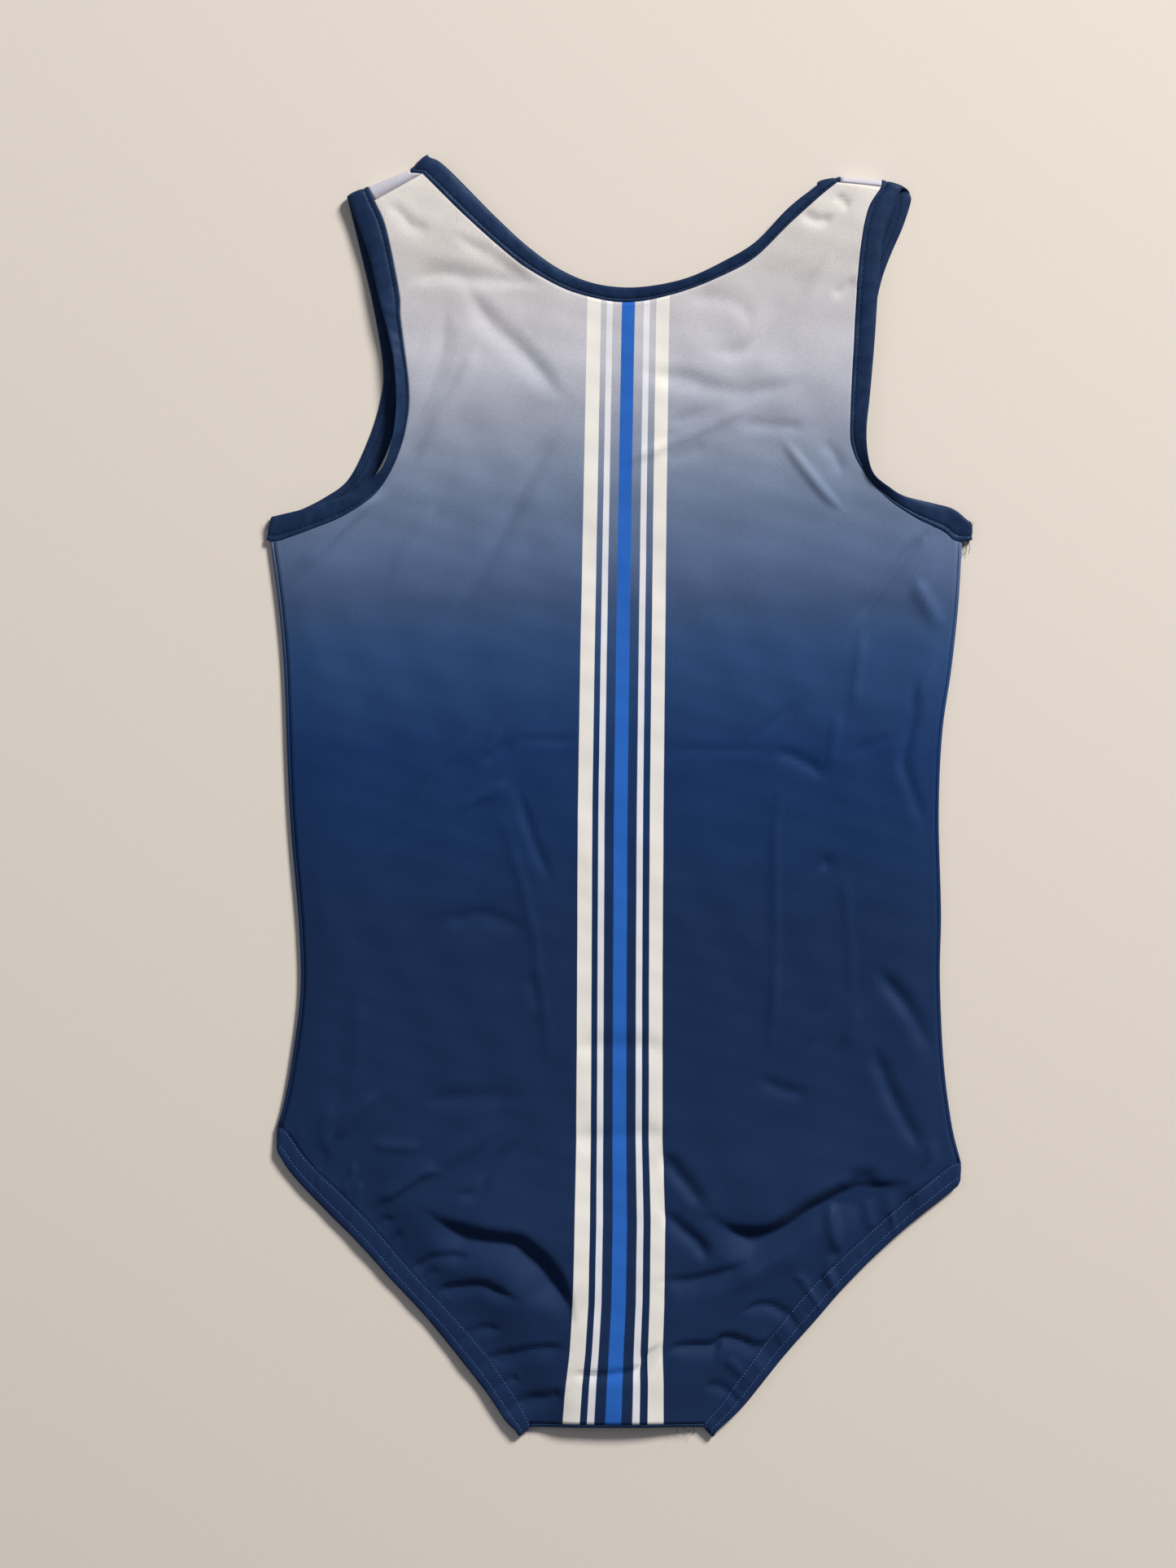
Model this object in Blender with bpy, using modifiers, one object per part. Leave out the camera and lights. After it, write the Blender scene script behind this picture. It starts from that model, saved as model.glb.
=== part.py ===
# A child's sleeveless gymnastics leotard, laid flat on a table with its front up.
# +X is the viewer's right, +Y runs to the shoulders and +Z up from the table.
# Every size below is in millimetres and becomes metres when a mesh is filled.

import math

import bmesh
import bpy
from mathutils import Vector

MM = 0.001

# Driving dimensions. A level is the height of the middle of a wall.
WALL = 1.2
SEAM_GAP = 0.3
BACK_LEVEL = WALL / 2
LOWEST_FRONT = 2.4
FREE_FRONT = 3.2
SIDE_LEVEL = 2.6
SIDE_ROUNDING = 11.0
SEAM_INSET = 2.6
SIDE_REACH = 1.0
SHOULDER_REACH = 1.3
CROTCH_REACH = 1.6
CROTCH_GAP = 0.9
HEM_REACH = 2.6
TURN_STEPS = 4
BAND_STEPS = 3

# How many faces each panel has along its edges and across.
FRONT_GRID = {"leg": 12, "side": 20, "arm": 14, "strap": 6, "strap_across": 8, "neck_across": 8}
BACK_GRID = {"leg": 12, "side": 20, "arm": 14, "strap": 6, "strap_across": 4, "neck_across": 4}

# Folded sides of the body from hip to armpit. Columns: x, y.
SIDES = {
    "left": ((-146.5, -142.5), (-143.5, -132), (-140, -113), (-136.5, -85), (-137, -57),
             (-140.5, -15), (-142, 13), (-143.5, 55), (-146, 83), (-149.5, 109.5)),
    "right": ((146.5, -157.5), (142.5, -141), (139, -113), (137.5, -78), (138, -50),
              (137, -8), (138.5, 27), (142.5, 55), (145.5, 83), (147, 109.5)),
}

# Fold over each shoulder and the seam just in front of it, from armhole to neck, and how far
# the back's strap stops short of the neck binding there.
SHOULDERS = {
    "left": {"fold": ((-107.6, 260.8), (-89.1, 268.5)), "seam": ((-105, 255), (-84, 267)), "trim": 0.8},
    "right": {"fold": ((112.9, 263.7), (95, 265)), "seam": ((112.5, 261), (93.5, 263)), "trim": 1.4},
}

# Cut edges of the front. Legs run from hip to crotch, armholes from armpit to shoulder and
# the neck from left to right. Columns: x, y.
FRONT_EDGES = {
    "leg_left": ((-143.9, -142.5), (-133, -157.5), (-119, -171), (-105, -185.5), (-91, -202),
                 (-70, -224.5), (-56, -240.5), (-49, -251), (-42, -262), (-39, -267.2)),
    "leg_right": ((143.9, -157.5), (134, -165), (121.5, -175), (98, -196), (81.5, -212),
                  (67.5, -229), (52.5, -248.5), (44.5, -260), (36.9, -267.2)),
    "arm_left": ((-146.9, 109.5), (-131, 115), (-118.5, 120), (-106, 128.5), (-97.5, 141),
                 (-92, 157), (-90.5, 174.5), (-94, 204), (-94.5, 215), (-100, 243), (-105, 255)),
    "arm_right": ((144.4, 109.5), (139, 114), (126.5, 120), (114, 129), (105.5, 139),
                  (100.5, 149), (99.5, 160.5), (101, 194), (103, 227.5), (106.5, 250), (112.5, 261)),
    "neck": ((-84, 267), (-67.5, 250.5), (-46.5, 232), (-32.5, 222.5), (-18.5, 216), (2.5, 212),
             (23.5, 215.5), (44.5, 223.5), (58.5, 231.5), (72.5, 245), (86.5, 257.5), (93.5, 263)),
}

# Cut edges of the back, which the front hides. Columns: x, y.
BACK_EDGES = {
    "leg_left": ((-145.5, -142.5), (-133, -155.5), (-117, -169), (-103, -183.5), (-89, -200),
                 (-68, -222.5), (-54, -238.5), (-47.5, -250), (-41.5, -262), (-39, -268.6)),
    "leg_right": ((145.5, -157.5), (133, -163), (120, -173), (96, -194), (79.5, -210),
                  (65.5, -227), (50.5, -247), (43, -259), (36.9, -268.6)),
    "arm_left": ((-148.5, 109.5), (-138, 113.5), (-126, 118.5), (-115, 126.5), (-106, 136.5),
                 (-100, 147.5), (-95.5, 161.5), (-92.5, 174.5), (-92, 185), (-95, 203.5),
                 (-98, 220.5), (-102.5, 237.5), (-107.1, 259.6)),
    "arm_right": ((146, 109.5), (132, 113), (120, 118.5), (109.5, 125.5), (101.5, 135),
                  (97, 147.5), (96.5, 160.5), (98, 177), (99, 194), (100.5, 208), (104, 220.5),
                  (108, 231.5), (113, 243), (115.5, 254), (112.8, 262.4)),
    "neck": ((-88.6, 267.3), (-70, 246), (-50, 215), (-28, 188), (2, 176), (32, 188), (54, 213),
             (74, 242), (94.9, 263.7)),
}

# Outer edges of the bands, beside the panel edges above. Columns: x, y, lift off the front's
# own level, where a band stands up on its seam.
BAND_EDGES = {
    "neck_front": ((-81.5, 274, 0), (-74.5, 270, 0), (-53.5, 249, 0), (-39.5, 236, 0),
                   (-25.5, 226, 0), (-11.5, 220, 0.5), (2.5, 218, 1), (16.5, 219, 1.5),
                   (30.5, 222.5, 1.5), (44.5, 229, 1.5), (58.5, 237.5, 1.5), (72.5, 252, 1),
                   (85, 262, 0)),
    "neck_back": ((-81.5, 274, 0), (-64, 252, 0), (-44.5, 221, 0), (-25, 195.5, 0), (2, 184, 0),
                  (29, 195.5, 0), (49, 219, 0), (68, 247, 0), (85, 262, 0)),
    "arm_left_front": ((-148, 120, 0), (-135.5, 123, 0), (-126, 126, 0), (-114.5, 130, 1),
                       (-106, 136, 2.5), (-100.5, 142, 3.5), (-97, 153.5, 4), (-95.5, 168, 3.5),
                       (-97, 188.5, 2.5), (-103.5, 216, 1), (-107, 231, 0), (-111.5, 244, 0),
                       (-116, 256, 0)),
    "arm_left_back": ((-148, 120, 0), (-139.5, 122, 0), (-127, 128, 0), (-116, 136.5, 0),
                      (-107.5, 153.5, 0), (-102.5, 170, 0), (-101.5, 185, 0), (-105.5, 209.5, 0),
                      (-110.5, 231.5, 0), (-116.5, 256, 0)),
    "arm_right_front": ((150, 118, 0), (143.5, 123, 0), (135, 125.5, 0), (122.5, 128.5, 1.5),
                        (115.5, 132.5, 2.5), (109, 138, 3), (106.5, 146.5, 3), (106, 157.5, 2.5),
                        (107.5, 171.5, 1.5), (109.5, 194, 0.5), (111, 216, 0), (113, 238, 0),
                        (116.5, 249, 0), (121, 260, 0)),
    "arm_right_back": ((150, 117, 0), (134, 121.5, 0), (122, 126.5, 0), (113.5, 132, 0),
                       (107, 139.5, 0), (105.5, 148.5, 0), (105, 160, 0), (106.5, 176.5, 0),
                       (108, 194, 0), (110, 208, 0), (113, 222, 0), (117, 233, 0),
                       (122, 244.5, 0), (125.5, 255.5, 0), (125, 259, 0)),
    "leg_left_front": ((-146, -154, 0), (-140, -163, 0), (-126, -178, 0), (-112, -192, 0),
                       (-98, -207.5, 0), (-84, -222.5, 0), (-70, -239.5, 0), (-56, -257.5, 0),
                       (-49, -268, 0), (-44.5, -272.5, 0)),
    "leg_left_back": ((-146, -153, 0), (-138, -161.5, 0), (-124, -175.5, 0), (-110, -189.5, 0),
                      (-96, -205, 0), (-82, -220, 0), (-68, -237, 0), (-55, -255, 0),
                      (-48.5, -266, 0), (-44.5, -272.5, 0)),
    "leg_right_front": ((145.5, -167.5, 0), (140, -172, 0), (126, -183, 0), (112, -195.5, 0),
                        (98, -209.5, 0), (84, -225.5, 0), (70, -241.5, 0), (56, -259, 0),
                        (49, -266.5, 0), (42, -272.8, 0)),
    "leg_right_back": ((145.5, -166.5, 0), (138.5, -170, 0), (124, -180.5, 0), (110, -193, 0),
                       (96, -207, 0), (82, -223, 0), (68, -239, 0), (54.5, -256.5, 0),
                       (48, -265, 0), (42, -272.8, 0)),
}

# How far the armhole bands run on past the folded side before they turn under.
ARMPIT_TAIL = {"left": 0.2, "right": 3.0}

# Broad places where the front stands off the back.
# Columns: x, y, spread along x, spread along y, height.
AIR = (
    (-90, 240, 28, 34, 1.6),
    (98, 242, 26, 34, 1.4),
    (0, 150, 75, 55, 1.0),
    (0, -20, 90, 110, 0.8),
    (-98, -195, 48, 42, 2.6),
    (98, -200, 48, 42, 2.2),
    (0, -266, 60, 26, 3.2),
)

# The largest folds of the front. Columns: half width, height (below zero for a trough) and
# the points (x, y) that the fold runs through.
FOLDS = (
    (9, -1.6, ((-92, 219), (-76, 230), (-63, 228), (-41, 219))),
    (10, 1.3, ((-80, 208), (-66, 214), (-57, 204), (-52, 190))),
    (9, -1.1, ((-68, 214), (-50, 195), (-30, 175))),
    (9, -1.0, ((-22, 161), (-50, 122), (-60, 95))),
    (9, -1.2, ((36, 195), (54, 191), (70, 202), (82, 214))),
    (9, 1.2, ((6, 144), (26, 152), (45, 162), (62, 172))),
    (8, -1.1, ((69, 153), (80, 138), (95, 124))),
    (9, 1.4, ((131, 115), (115, 96), (99, 73))),
    (8, -1.2, ((127, 60), (121, 20), (121, 0), (132, -17))),
    (9, -1.2, ((-81, 3), (-97, -17), (-110, -29))),
    (7, 1.3, ((-54, -3), (-38, -50), (-34, -80), (-30, -122))),
    (8, -0.9, ((70, 12), (66, -60), (63, -118))),
    (9, -1.0, ((-82, -140), (-65, -130), (-45, -127), (-33, -133))),
    (9, -1.4, ((112, -75), (123, -89), (133, -104))),
    (9, -2.2, ((-79, -178), (-55, -187), (-40, -188), (-26, -206), (-20, -217))),
    (10, 1.8, ((-76, -192), (-54, -201), (-40, -212))),
    (9, -2.4, ((42, -180), (57, -182), (70, -180), (97, -165), (107, -157), (118, -166))),
    (10, 1.8, ((58, -196), (76, -192), (98, -179), (108, -171))),
)

# Colour, roughness and metallic value of each piece.
FINISHES = {
    "panel": ((0.028, 0.052, 0.115), 0.62, 0.0),
    "binding": ((0.016, 0.03, 0.078), 0.42, 0.0),
    "hem": ((0.022, 0.04, 0.09), 0.6, 0.0),
}


def clear_scene():
    for item in list(bpy.data.objects):
        bpy.data.objects.remove(item, do_unlink=True)


def new_collection(name):
    collection = bpy.data.collections.new(name)
    bpy.context.scene.collection.children.link(collection)
    return collection


def new_material(name, finish):
    colour, roughness, metallic = FINISHES[finish]
    material = bpy.data.materials.new(name)
    material.use_nodes = True
    shader = material.node_tree.nodes["Principled BSDF"]
    shader.inputs["Base Color"].default_value = (*colour, 1.0)
    shader.inputs["Roughness"].default_value = roughness
    shader.inputs["Metallic"].default_value = metallic
    return material


def add_shell(collection, name, mesh_data, finish):
    # An open sheet becomes a closed wall of cloth, half of it on each side.
    mesh = bpy.data.meshes.new(name)
    mesh_data.to_mesh(mesh)
    mesh_data.free()
    mesh.shade_smooth()
    mesh.materials.append(new_material(name + "_cloth", finish))
    shell = bpy.data.objects.new(name, mesh)
    collection.objects.link(shell)
    wall = shell.modifiers.new("wall", "SOLIDIFY")
    wall.thickness = WALL * MM
    wall.offset = 0.0
    return shell


def smooth_curve(points, steps):
    # Evenly spaced points on a smooth curve through the given ones, in any number of columns.
    knots = [Vector(point) for point in points]
    knots = [2 * knots[0] - knots[1]] + knots + [2 * knots[-1] - knots[-2]]
    fine = 12
    track = [knots[1]]
    for before, start, end, after in zip(knots, knots[1:], knots[2:], knots[3:]):
        for step in range(1, fine + 1):
            t = step / fine
            track.append(0.5 * (2 * start + (end - before) * t
                                + (2 * before - 5 * start + 4 * end - after) * t ** 2
                                + (3 * start - before - 3 * end + after) * t ** 3))
    run = [0.0]
    for here, there in zip(track, track[1:]):
        run.append(run[-1] + (there - here).length)
    result = []
    place = 0
    for step in range(steps + 1):
        target = run[-1] * step / steps
        while place < len(run) - 2 and run[place + 1] < target:
            place += 1
        share = (target - run[place]) / (run[place + 1] - run[place])
        result.append(track[place].lerp(track[place + 1], min(max(share, 0.0), 1.0)))
    return result


def distance_to_line(x, y, points):
    best = math.inf
    for (ax, ay), (bx, by) in zip(points, points[1:]):
        dx, dy = bx - ax, by - ay
        share = ((x - ax) * dx + (y - ay) * dy) / (dx * dx + dy * dy)
        share = min(max(share, 0.0), 1.0)
        best = min(best, math.hypot(x - ax - share * dx, y - ay - share * dy))
    return best


def front_level(x, y):
    # Height of the middle of the front's wall: lifted by air, creased by folds and dipping
    # to the folded sides.
    level = FREE_FRONT
    for centre_x, centre_y, spread_x, spread_y, height in AIR:
        level += height * math.exp(-((x - centre_x) / spread_x) ** 2 - ((y - centre_y) / spread_y) ** 2)
    for half_width, height, points in FOLDS:
        level += height * math.exp(-(distance_to_line(x, y, points) / half_width) ** 2)
    side = min(distance_to_line(x, y, points) for points in SIDES.values())
    level = SIDE_LEVEL + (level - SIDE_LEVEL) * (1 - math.exp(-(side / SIDE_ROUNDING) ** 2))
    return max(level, LOWEST_FRONT)


def back_level(x, y):
    return BACK_LEVEL


def turn(low, high, outward, reach):
    # Points of a fold that swells outward between two layers, low and high left out.
    points = []
    for step in range(1, TURN_STEPS):
        angle = math.pi * step / TURN_STEPS
        point = low.lerp(high, (1 - math.cos(angle)) / 2)
        points.append(point + outward.to_3d() * reach * math.sin(angle))
    return points


def shoulder_frame(side):
    # Direction of the shoulder fold from armhole to neck, its outward side and its two ends,
    # drawn in by the reach of the turn.
    arm_end, neck_end = (Vector(point) for point in SHOULDERS[side]["fold"])
    along = (neck_end - arm_end).normalized()
    outward = Vector((-along.y, along.x))
    if outward.y < 0:
        outward.negate()
    return along, outward, arm_end - outward * SHOULDER_REACH, neck_end - outward * SHOULDER_REACH


def side_line(side, inset, steps):
    sign = 1 if side == "left" else -1
    return [point + Vector((sign * inset, 0)) for point in smooth_curve(SIDES[side], steps)]


def panel_outline(edges, grid, inset):
    # Edge points of a panel: both sides from crotch to shoulder, and the neck.
    outline = {}
    for side in ("left", "right"):
        leg = smooth_curve(edges["leg_" + side], grid["leg"])[::-1]
        body = side_line(side, inset, grid["side"])
        arm = smooth_curve(edges["arm_" + side], grid["arm"] + grid["strap"])
        outline[side] = leg[:-1] + body + arm[1:]
    outline["neck"] = smooth_curve(edges["neck"], 2 * grid["strap"] + grid["neck_across"])
    return outline


def panel_points(outline, grid):
    # Plan position of each row and column of a panel. Rows rise from the crotch. The row at
    # the foot of the straps dips along the neck, and the rows above it hold the straps alone.
    across = 2 * grid["strap_across"] + grid["neck_across"]
    armpit = grid["leg"] + grid["side"]
    neck_row = armpit + grid["arm"]
    left, right, neck = outline["left"], outline["right"], outline["neck"]

    def strap_row(row):
        step = row - neck_row
        inner_left = neck[grid["strap"] - step]
        inner_right = neck[grid["strap"] + grid["neck_across"] + step]
        shares = [column / grid["strap_across"] for column in range(grid["strap_across"] + 1)]
        return ([left[row].lerp(inner_left, share) for share in shares],
                [inner_right.lerp(right[row], share) for share in shares])

    left_strap, right_strap = strap_row(neck_row)
    low_neck = neck[grid["strap"] + 1:grid["strap"] + grid["neck_across"]]
    neck_shape = left_strap + low_neck + right_strap
    points = {}
    for row in range(neck_row + 1):
        rise = max(0.0, (row - armpit) / (neck_row - armpit))
        bend = rise * rise * (3 - 2 * rise)
        for column in range(across + 1):
            share = column / across
            straight = left[neck_row].lerp(right[neck_row], share)
            points[row, column] = (left[row].lerp(right[row], share)
                                   + (neck_shape[column] - straight) * bend)
    for row in range(neck_row + 1, neck_row + grid["strap"] + 1):
        left_strap, right_strap = strap_row(row)
        for column in range(grid["strap_across"] + 1):
            points[row, column] = left_strap[column]
            points[row, across - grid["strap_across"] + column] = right_strap[column]
    return points


def fill_sheet(points):
    # A plain grid whose corners are moved to the points. Those with no point are deleted.
    rows = [row for row, column in points]
    columns = [column for row, column in points]
    first_row, first_column = min(rows), min(columns)
    row_count, column_count = max(rows) - first_row, max(columns) - first_column
    sheet = bmesh.new()
    bmesh.ops.create_grid(sheet, x_segments=column_count, y_segments=row_count, size=1.0)
    spare = []
    for corner in sheet.verts:
        column = first_column + round((corner.co.x + 1) / 2 * column_count)
        row = first_row + round((corner.co.y + 1) / 2 * row_count)
        if (row, column) in points:
            corner.co = points[row, column] * MM
        else:
            spare.append(corner)
    bmesh.ops.delete(sheet, geom=spare, context="VERTS")
    bmesh.ops.recalc_face_normals(sheet, faces=sheet.faces)
    return sheet


def build_front(collection, plan):
    points = {place: Vector((*point, front_level(*point))) for place, point in plan.items()}
    return add_shell(collection, "front_panel", fill_sheet(points), "panel")


def build_back(collection, plan, front_outline):
    # The back lies flat. It turns up round the sides and the crotch to meet the front's
    # edges, and over the shoulders to the seams in front of them.
    grid = BACK_GRID
    across = 2 * grid["strap_across"] + grid["neck_across"]
    hip, armpit = grid["leg"], grid["leg"] + grid["side"]
    top = armpit + grid["arm"] + grid["strap"]
    points = {place: Vector((*point, BACK_LEVEL)) for place, point in plan.items()}

    def add_turn(start, step, seam, outward, reach):
        low = points[start]
        high = Vector((low.x, low.y, front_level(low.x, low.y)))
        end = Vector((*seam, front_level(*seam)))
        row, column = start
        for point in turn(low, high, outward, reach) + [high, end]:
            row, column = row + step[0], column + step[1]
            points[row, column] = point

    for side, column, sign in (("left", 0, -1), ("right", across, 1)):
        outward = Vector((sign, 0))
        for row in range(hip, armpit + 1):
            seam = front_outline[side][row] + outward * SEAM_GAP
            add_turn((row, column), (0, sign), seam, outward, SIDE_REACH)
    for column in range(across + 1):
        seam = front_outline["left"][0].lerp(front_outline["right"][0], column / across)
        seam = seam - Vector((0, SEAM_GAP))
        add_turn((0, column), (-1, 0), seam, Vector((0, -1)), CROTCH_REACH)

    for side, first in (("left", 0), ("right", across - grid["strap_across"])):
        along, outward, arm_end, neck_end = shoulder_frame(side)
        trim = along * SHOULDERS[side]["trim"]
        seam_arm, seam_neck = (Vector(point) for point in SHOULDERS[side]["seam"])
        for index in range(grid["strap_across"] + 1):
            share = index / grid["strap_across"]
            if side == "right":
                share = 1 - share
            column = first + index
            points[top, column] = Vector((*arm_end.lerp(neck_end - trim, share), BACK_LEVEL))
            seam = seam_arm.lerp(seam_neck - trim, share) + outward * SEAM_GAP
            add_turn((top, column), (1, 0), seam, outward, SHOULDER_REACH)
    return add_shell(collection, "back_panel", fill_sheet(points), "panel")


def moved_out(points, centre_side):
    # The points moved out by the seam gap, away from the cloth that lies on centre_side,
    # which is 1 when it is to the left of the run and -1 when it is to the right.
    result = []
    for index, point in enumerate(points):
        before = points[max(index - 1, 0)]
        after = points[min(index + 1, len(points) - 1)]
        run = (after - before).normalized()
        result.append(point + Vector((run.y, -run.x)) * SEAM_GAP * centre_side)
    return result


def band_layer(inner, outer_name, level):
    # One layer of a band: pairs of points on its two edges, at the level of the panel.
    outer = smooth_curve(BAND_EDGES[outer_name], len(inner) - 1)
    layer = []
    for near, far in zip(inner, outer):
        x, y, lift = far
        layer.append((Vector((*near, level(*near))), Vector((x, y, level(x, y) + lift))))
    return layer


def build_band(collection, name, front, back, ends, finish):
    # A closed ring: the front layer, a turn, the back layer reversed and a second turn.
    # ends holds the outward direction and reach of the turn after each layer.
    ring = list(front)
    for layer, start, (outward, reach) in ((back[::-1], front[-1], ends[0]), (None, back[0], ends[1])):
        end = layer[0] if layer else front[0]
        edges = [turn(start[edge], end[edge], outward, reach) for edge in (0, 1)]
        ring += list(zip(*edges))
        if layer:
            ring += layer
    points = {}
    for place, (near, far) in enumerate(ring + ring[:1]):
        for step in range(BAND_STEPS + 1):
            points[place, step] = near.lerp(far, step / BAND_STEPS)
            points[place, step].z = near.z + (far.z - near.z) * (step / BAND_STEPS) ** 2
    sheet = fill_sheet(points)
    bmesh.ops.remove_doubles(sheet, verts=sheet.verts, dist=0.01 * MM)
    bmesh.ops.recalc_face_normals(sheet, faces=sheet.faces)
    return add_shell(collection, name, sheet, finish)


def build_neck_binding(collection, front_outline, back_outline):
    left_along, left_out, left_arm, left_neck = shoulder_frame("left")
    right_along, right_out, right_arm, right_neck = shoulder_frame("right")
    ends = (left_neck + left_along * SEAM_GAP, right_neck + right_along * SEAM_GAP)
    front = [ends[0]] + moved_out(front_outline["neck"], -1) + [ends[1]]
    back = [ends[0]] + moved_out(back_outline["neck"], -1)[1:-1] + [ends[1]]
    build_band(collection, "neck_binding",
               band_layer(front, "neck_front", front_level),
               band_layer(back, "neck_back", back_level),
               ((right_out, SHOULDER_REACH), (left_out, SHOULDER_REACH)), "binding")


def build_armhole_binding(collection, side, front_outline, back_outline):
    along, outward, arm_end, neck_end = shoulder_frame(side)
    sign = -1 if side == "left" else 1
    armpit = FRONT_GRID["leg"] + FRONT_GRID["side"]
    layers = []
    for outline, last in ((front_outline, 0), (back_outline, 1)):
        edge = outline[side][armpit:]
        inner = moved_out(edge, sign)
        inner[0] = edge[0] + Vector((0, SEAM_GAP))
        tail = Vector(SIDES[side][-1]) + Vector((sign * ARMPIT_TAIL[side], 2 * SEAM_GAP))
        inner = inner[:len(inner) - last] + [arm_end - along * SEAM_GAP]
        layers.append([tail] + inner)
    build_band(collection, "armhole_binding_" + side,
               band_layer(layers[0], "arm_" + side + "_front", front_level),
               band_layer(layers[1], "arm_" + side + "_back", back_level),
               ((outward, SHOULDER_REACH), (Vector((sign, 0)), SIDE_REACH)), "binding")


def build_leg_hem(collection, side, front_outline, back_outline):
    sign = -1 if side == "left" else 1
    hip = FRONT_GRID["leg"]
    layers = []
    for outline in (front_outline, back_outline):
        edge = outline[side][:hip + 1][::-1]
        inner = moved_out(edge, sign * -1)
        inner[0] = edge[0] - Vector((0, SEAM_GAP))
        inner[-1] = edge[-1] + Vector((sign * CROTCH_GAP, 0))
        layers.append(inner)
    build_band(collection, "leg_hem_" + side,
               band_layer(layers[0], "leg_" + side + "_front", front_level),
               band_layer(layers[1], "leg_" + side + "_back", back_level),
               ((Vector((0, -1)), HEM_REACH), (Vector((sign, 0)), SIDE_REACH)), "hem")


def build_leotard():
    clear_scene()
    collection = new_collection("leotard")
    front_outline = panel_outline(FRONT_EDGES, FRONT_GRID, SEAM_INSET)
    back_outline = panel_outline(BACK_EDGES, BACK_GRID, SIDE_REACH)
    build_front(collection, panel_points(front_outline, FRONT_GRID))
    build_back(collection, panel_points(back_outline, BACK_GRID), front_outline)
    build_neck_binding(collection, front_outline, back_outline)
    for side in ("left", "right"):
        build_armhole_binding(collection, side, front_outline, back_outline)
        build_leg_hem(collection, side, front_outline, back_outline)


build_leotard()
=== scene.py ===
import math

import bmesh
import bpy
import numpy as np
from mathutils import Matrix, Vector


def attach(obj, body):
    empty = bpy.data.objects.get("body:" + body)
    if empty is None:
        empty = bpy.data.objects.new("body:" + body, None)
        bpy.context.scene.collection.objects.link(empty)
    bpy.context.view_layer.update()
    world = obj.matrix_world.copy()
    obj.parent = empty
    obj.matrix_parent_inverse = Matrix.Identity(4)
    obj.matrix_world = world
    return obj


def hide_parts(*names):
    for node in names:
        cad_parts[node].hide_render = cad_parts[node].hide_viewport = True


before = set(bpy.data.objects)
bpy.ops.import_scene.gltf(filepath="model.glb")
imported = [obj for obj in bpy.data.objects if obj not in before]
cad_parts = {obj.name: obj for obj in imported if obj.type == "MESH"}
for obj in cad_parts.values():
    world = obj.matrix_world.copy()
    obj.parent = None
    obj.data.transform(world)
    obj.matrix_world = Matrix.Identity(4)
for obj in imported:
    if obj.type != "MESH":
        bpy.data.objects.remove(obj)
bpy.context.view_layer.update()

mm = 0.001  # every table below is in millimetres


# Camera, straight above the table as in the photograph

photoView = {"centre": (-13.3, 5.1), "height": 674.5, "distance": 1500, "filmSide": 36}


def placeCamera():
    camera = bpy.data.cameras.new("photoCamera")
    camera.sensor_width = photoView["filmSide"]
    camera.lens = photoView["filmSide"] * photoView["distance"] / photoView["height"]
    holder = bpy.data.objects.new("photoCamera", camera)
    holder.location = Vector((*photoView["centre"], photoView["distance"])) * mm
    bpy.context.scene.collection.objects.link(holder)
    bpy.context.scene.camera = holder


# Lights and floor

studio = {
    "floorColour": (221, 213, 204), "floorSide": 6000, "world": (0.86, 0.9, 1.0), "worldStrength": 0.17,
    "keyPlace": (2100, 2450, 2250), "keySize": 1050, "keyPower": 212, "keyColour": (1.0, 0.96, 0.91),
    "fillPlace": (-1300, 300, 1300), "fillSize": 1400, "fillPower": 2.5, "fillColour": (0.93, 0.96, 1.0),
    "glossTint": (0.5, 0.7, 1.0), "sheenRoughness": 0.4, "floorGap": 0.05,
}


def paint(red, green, blue):
    # A colour as a paint chart gives it, 0 to 255, as the linear one that a shader takes
    def linear(value):
        value = value / 255
        return value / 12.92 if value <= 0.04045 else ((value + 0.055) / 1.055) ** 2.4
    return (linear(red), linear(green), linear(blue), 1.0)


def addLight(name, place, size, power, colour):
    light = bpy.data.lights.new(name, "AREA")
    light.shape = "DISK"
    light.size = size * mm
    light.energy = power
    light.color = colour
    holder = bpy.data.objects.new(name, light)
    holder.location = Vector(place) * mm
    holder.rotation_euler = (-holder.location).to_track_quat("-Z", "Y").to_euler()
    bpy.context.scene.collection.objects.link(holder)


def setStudio():
    world = bpy.data.worlds.new("softStudio")
    world.use_nodes = True
    background = world.node_tree.nodes["Background"]
    background.inputs["Color"].default_value = (*studio["world"], 1.0)
    background.inputs["Strength"].default_value = studio["worldStrength"]
    bpy.context.scene.world = world
    bpy.context.scene.view_settings.view_transform = "Standard"
    addLight("keyLight", studio["keyPlace"], studio["keySize"], studio["keyPower"], studio["keyColour"])
    addLight("fillLight", studio["fillPlace"], studio["fillSize"], studio["fillPower"], studio["fillColour"])
    slab = bmesh.new()
    bmesh.ops.create_grid(slab, x_segments=1, y_segments=1, size=studio["floorSide"] / 2 * mm)
    bmesh.ops.translate(slab, verts=slab.verts, vec=(0, 0, -studio["floorGap"] * mm))
    floor = finishMesh("tableTop", slab, tableLinen())


# Helpers for meshes and nodes

def finishMesh(name, shape, *materials):
    mesh = bpy.data.meshes.new(name)
    shape.to_mesh(mesh)
    shape.free()
    mesh.shade_smooth()
    for material in materials:
        mesh.materials.append(material)
    piece = bpy.data.objects.new(name, mesh)
    bpy.context.scene.collection.objects.link(piece)
    return piece


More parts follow.
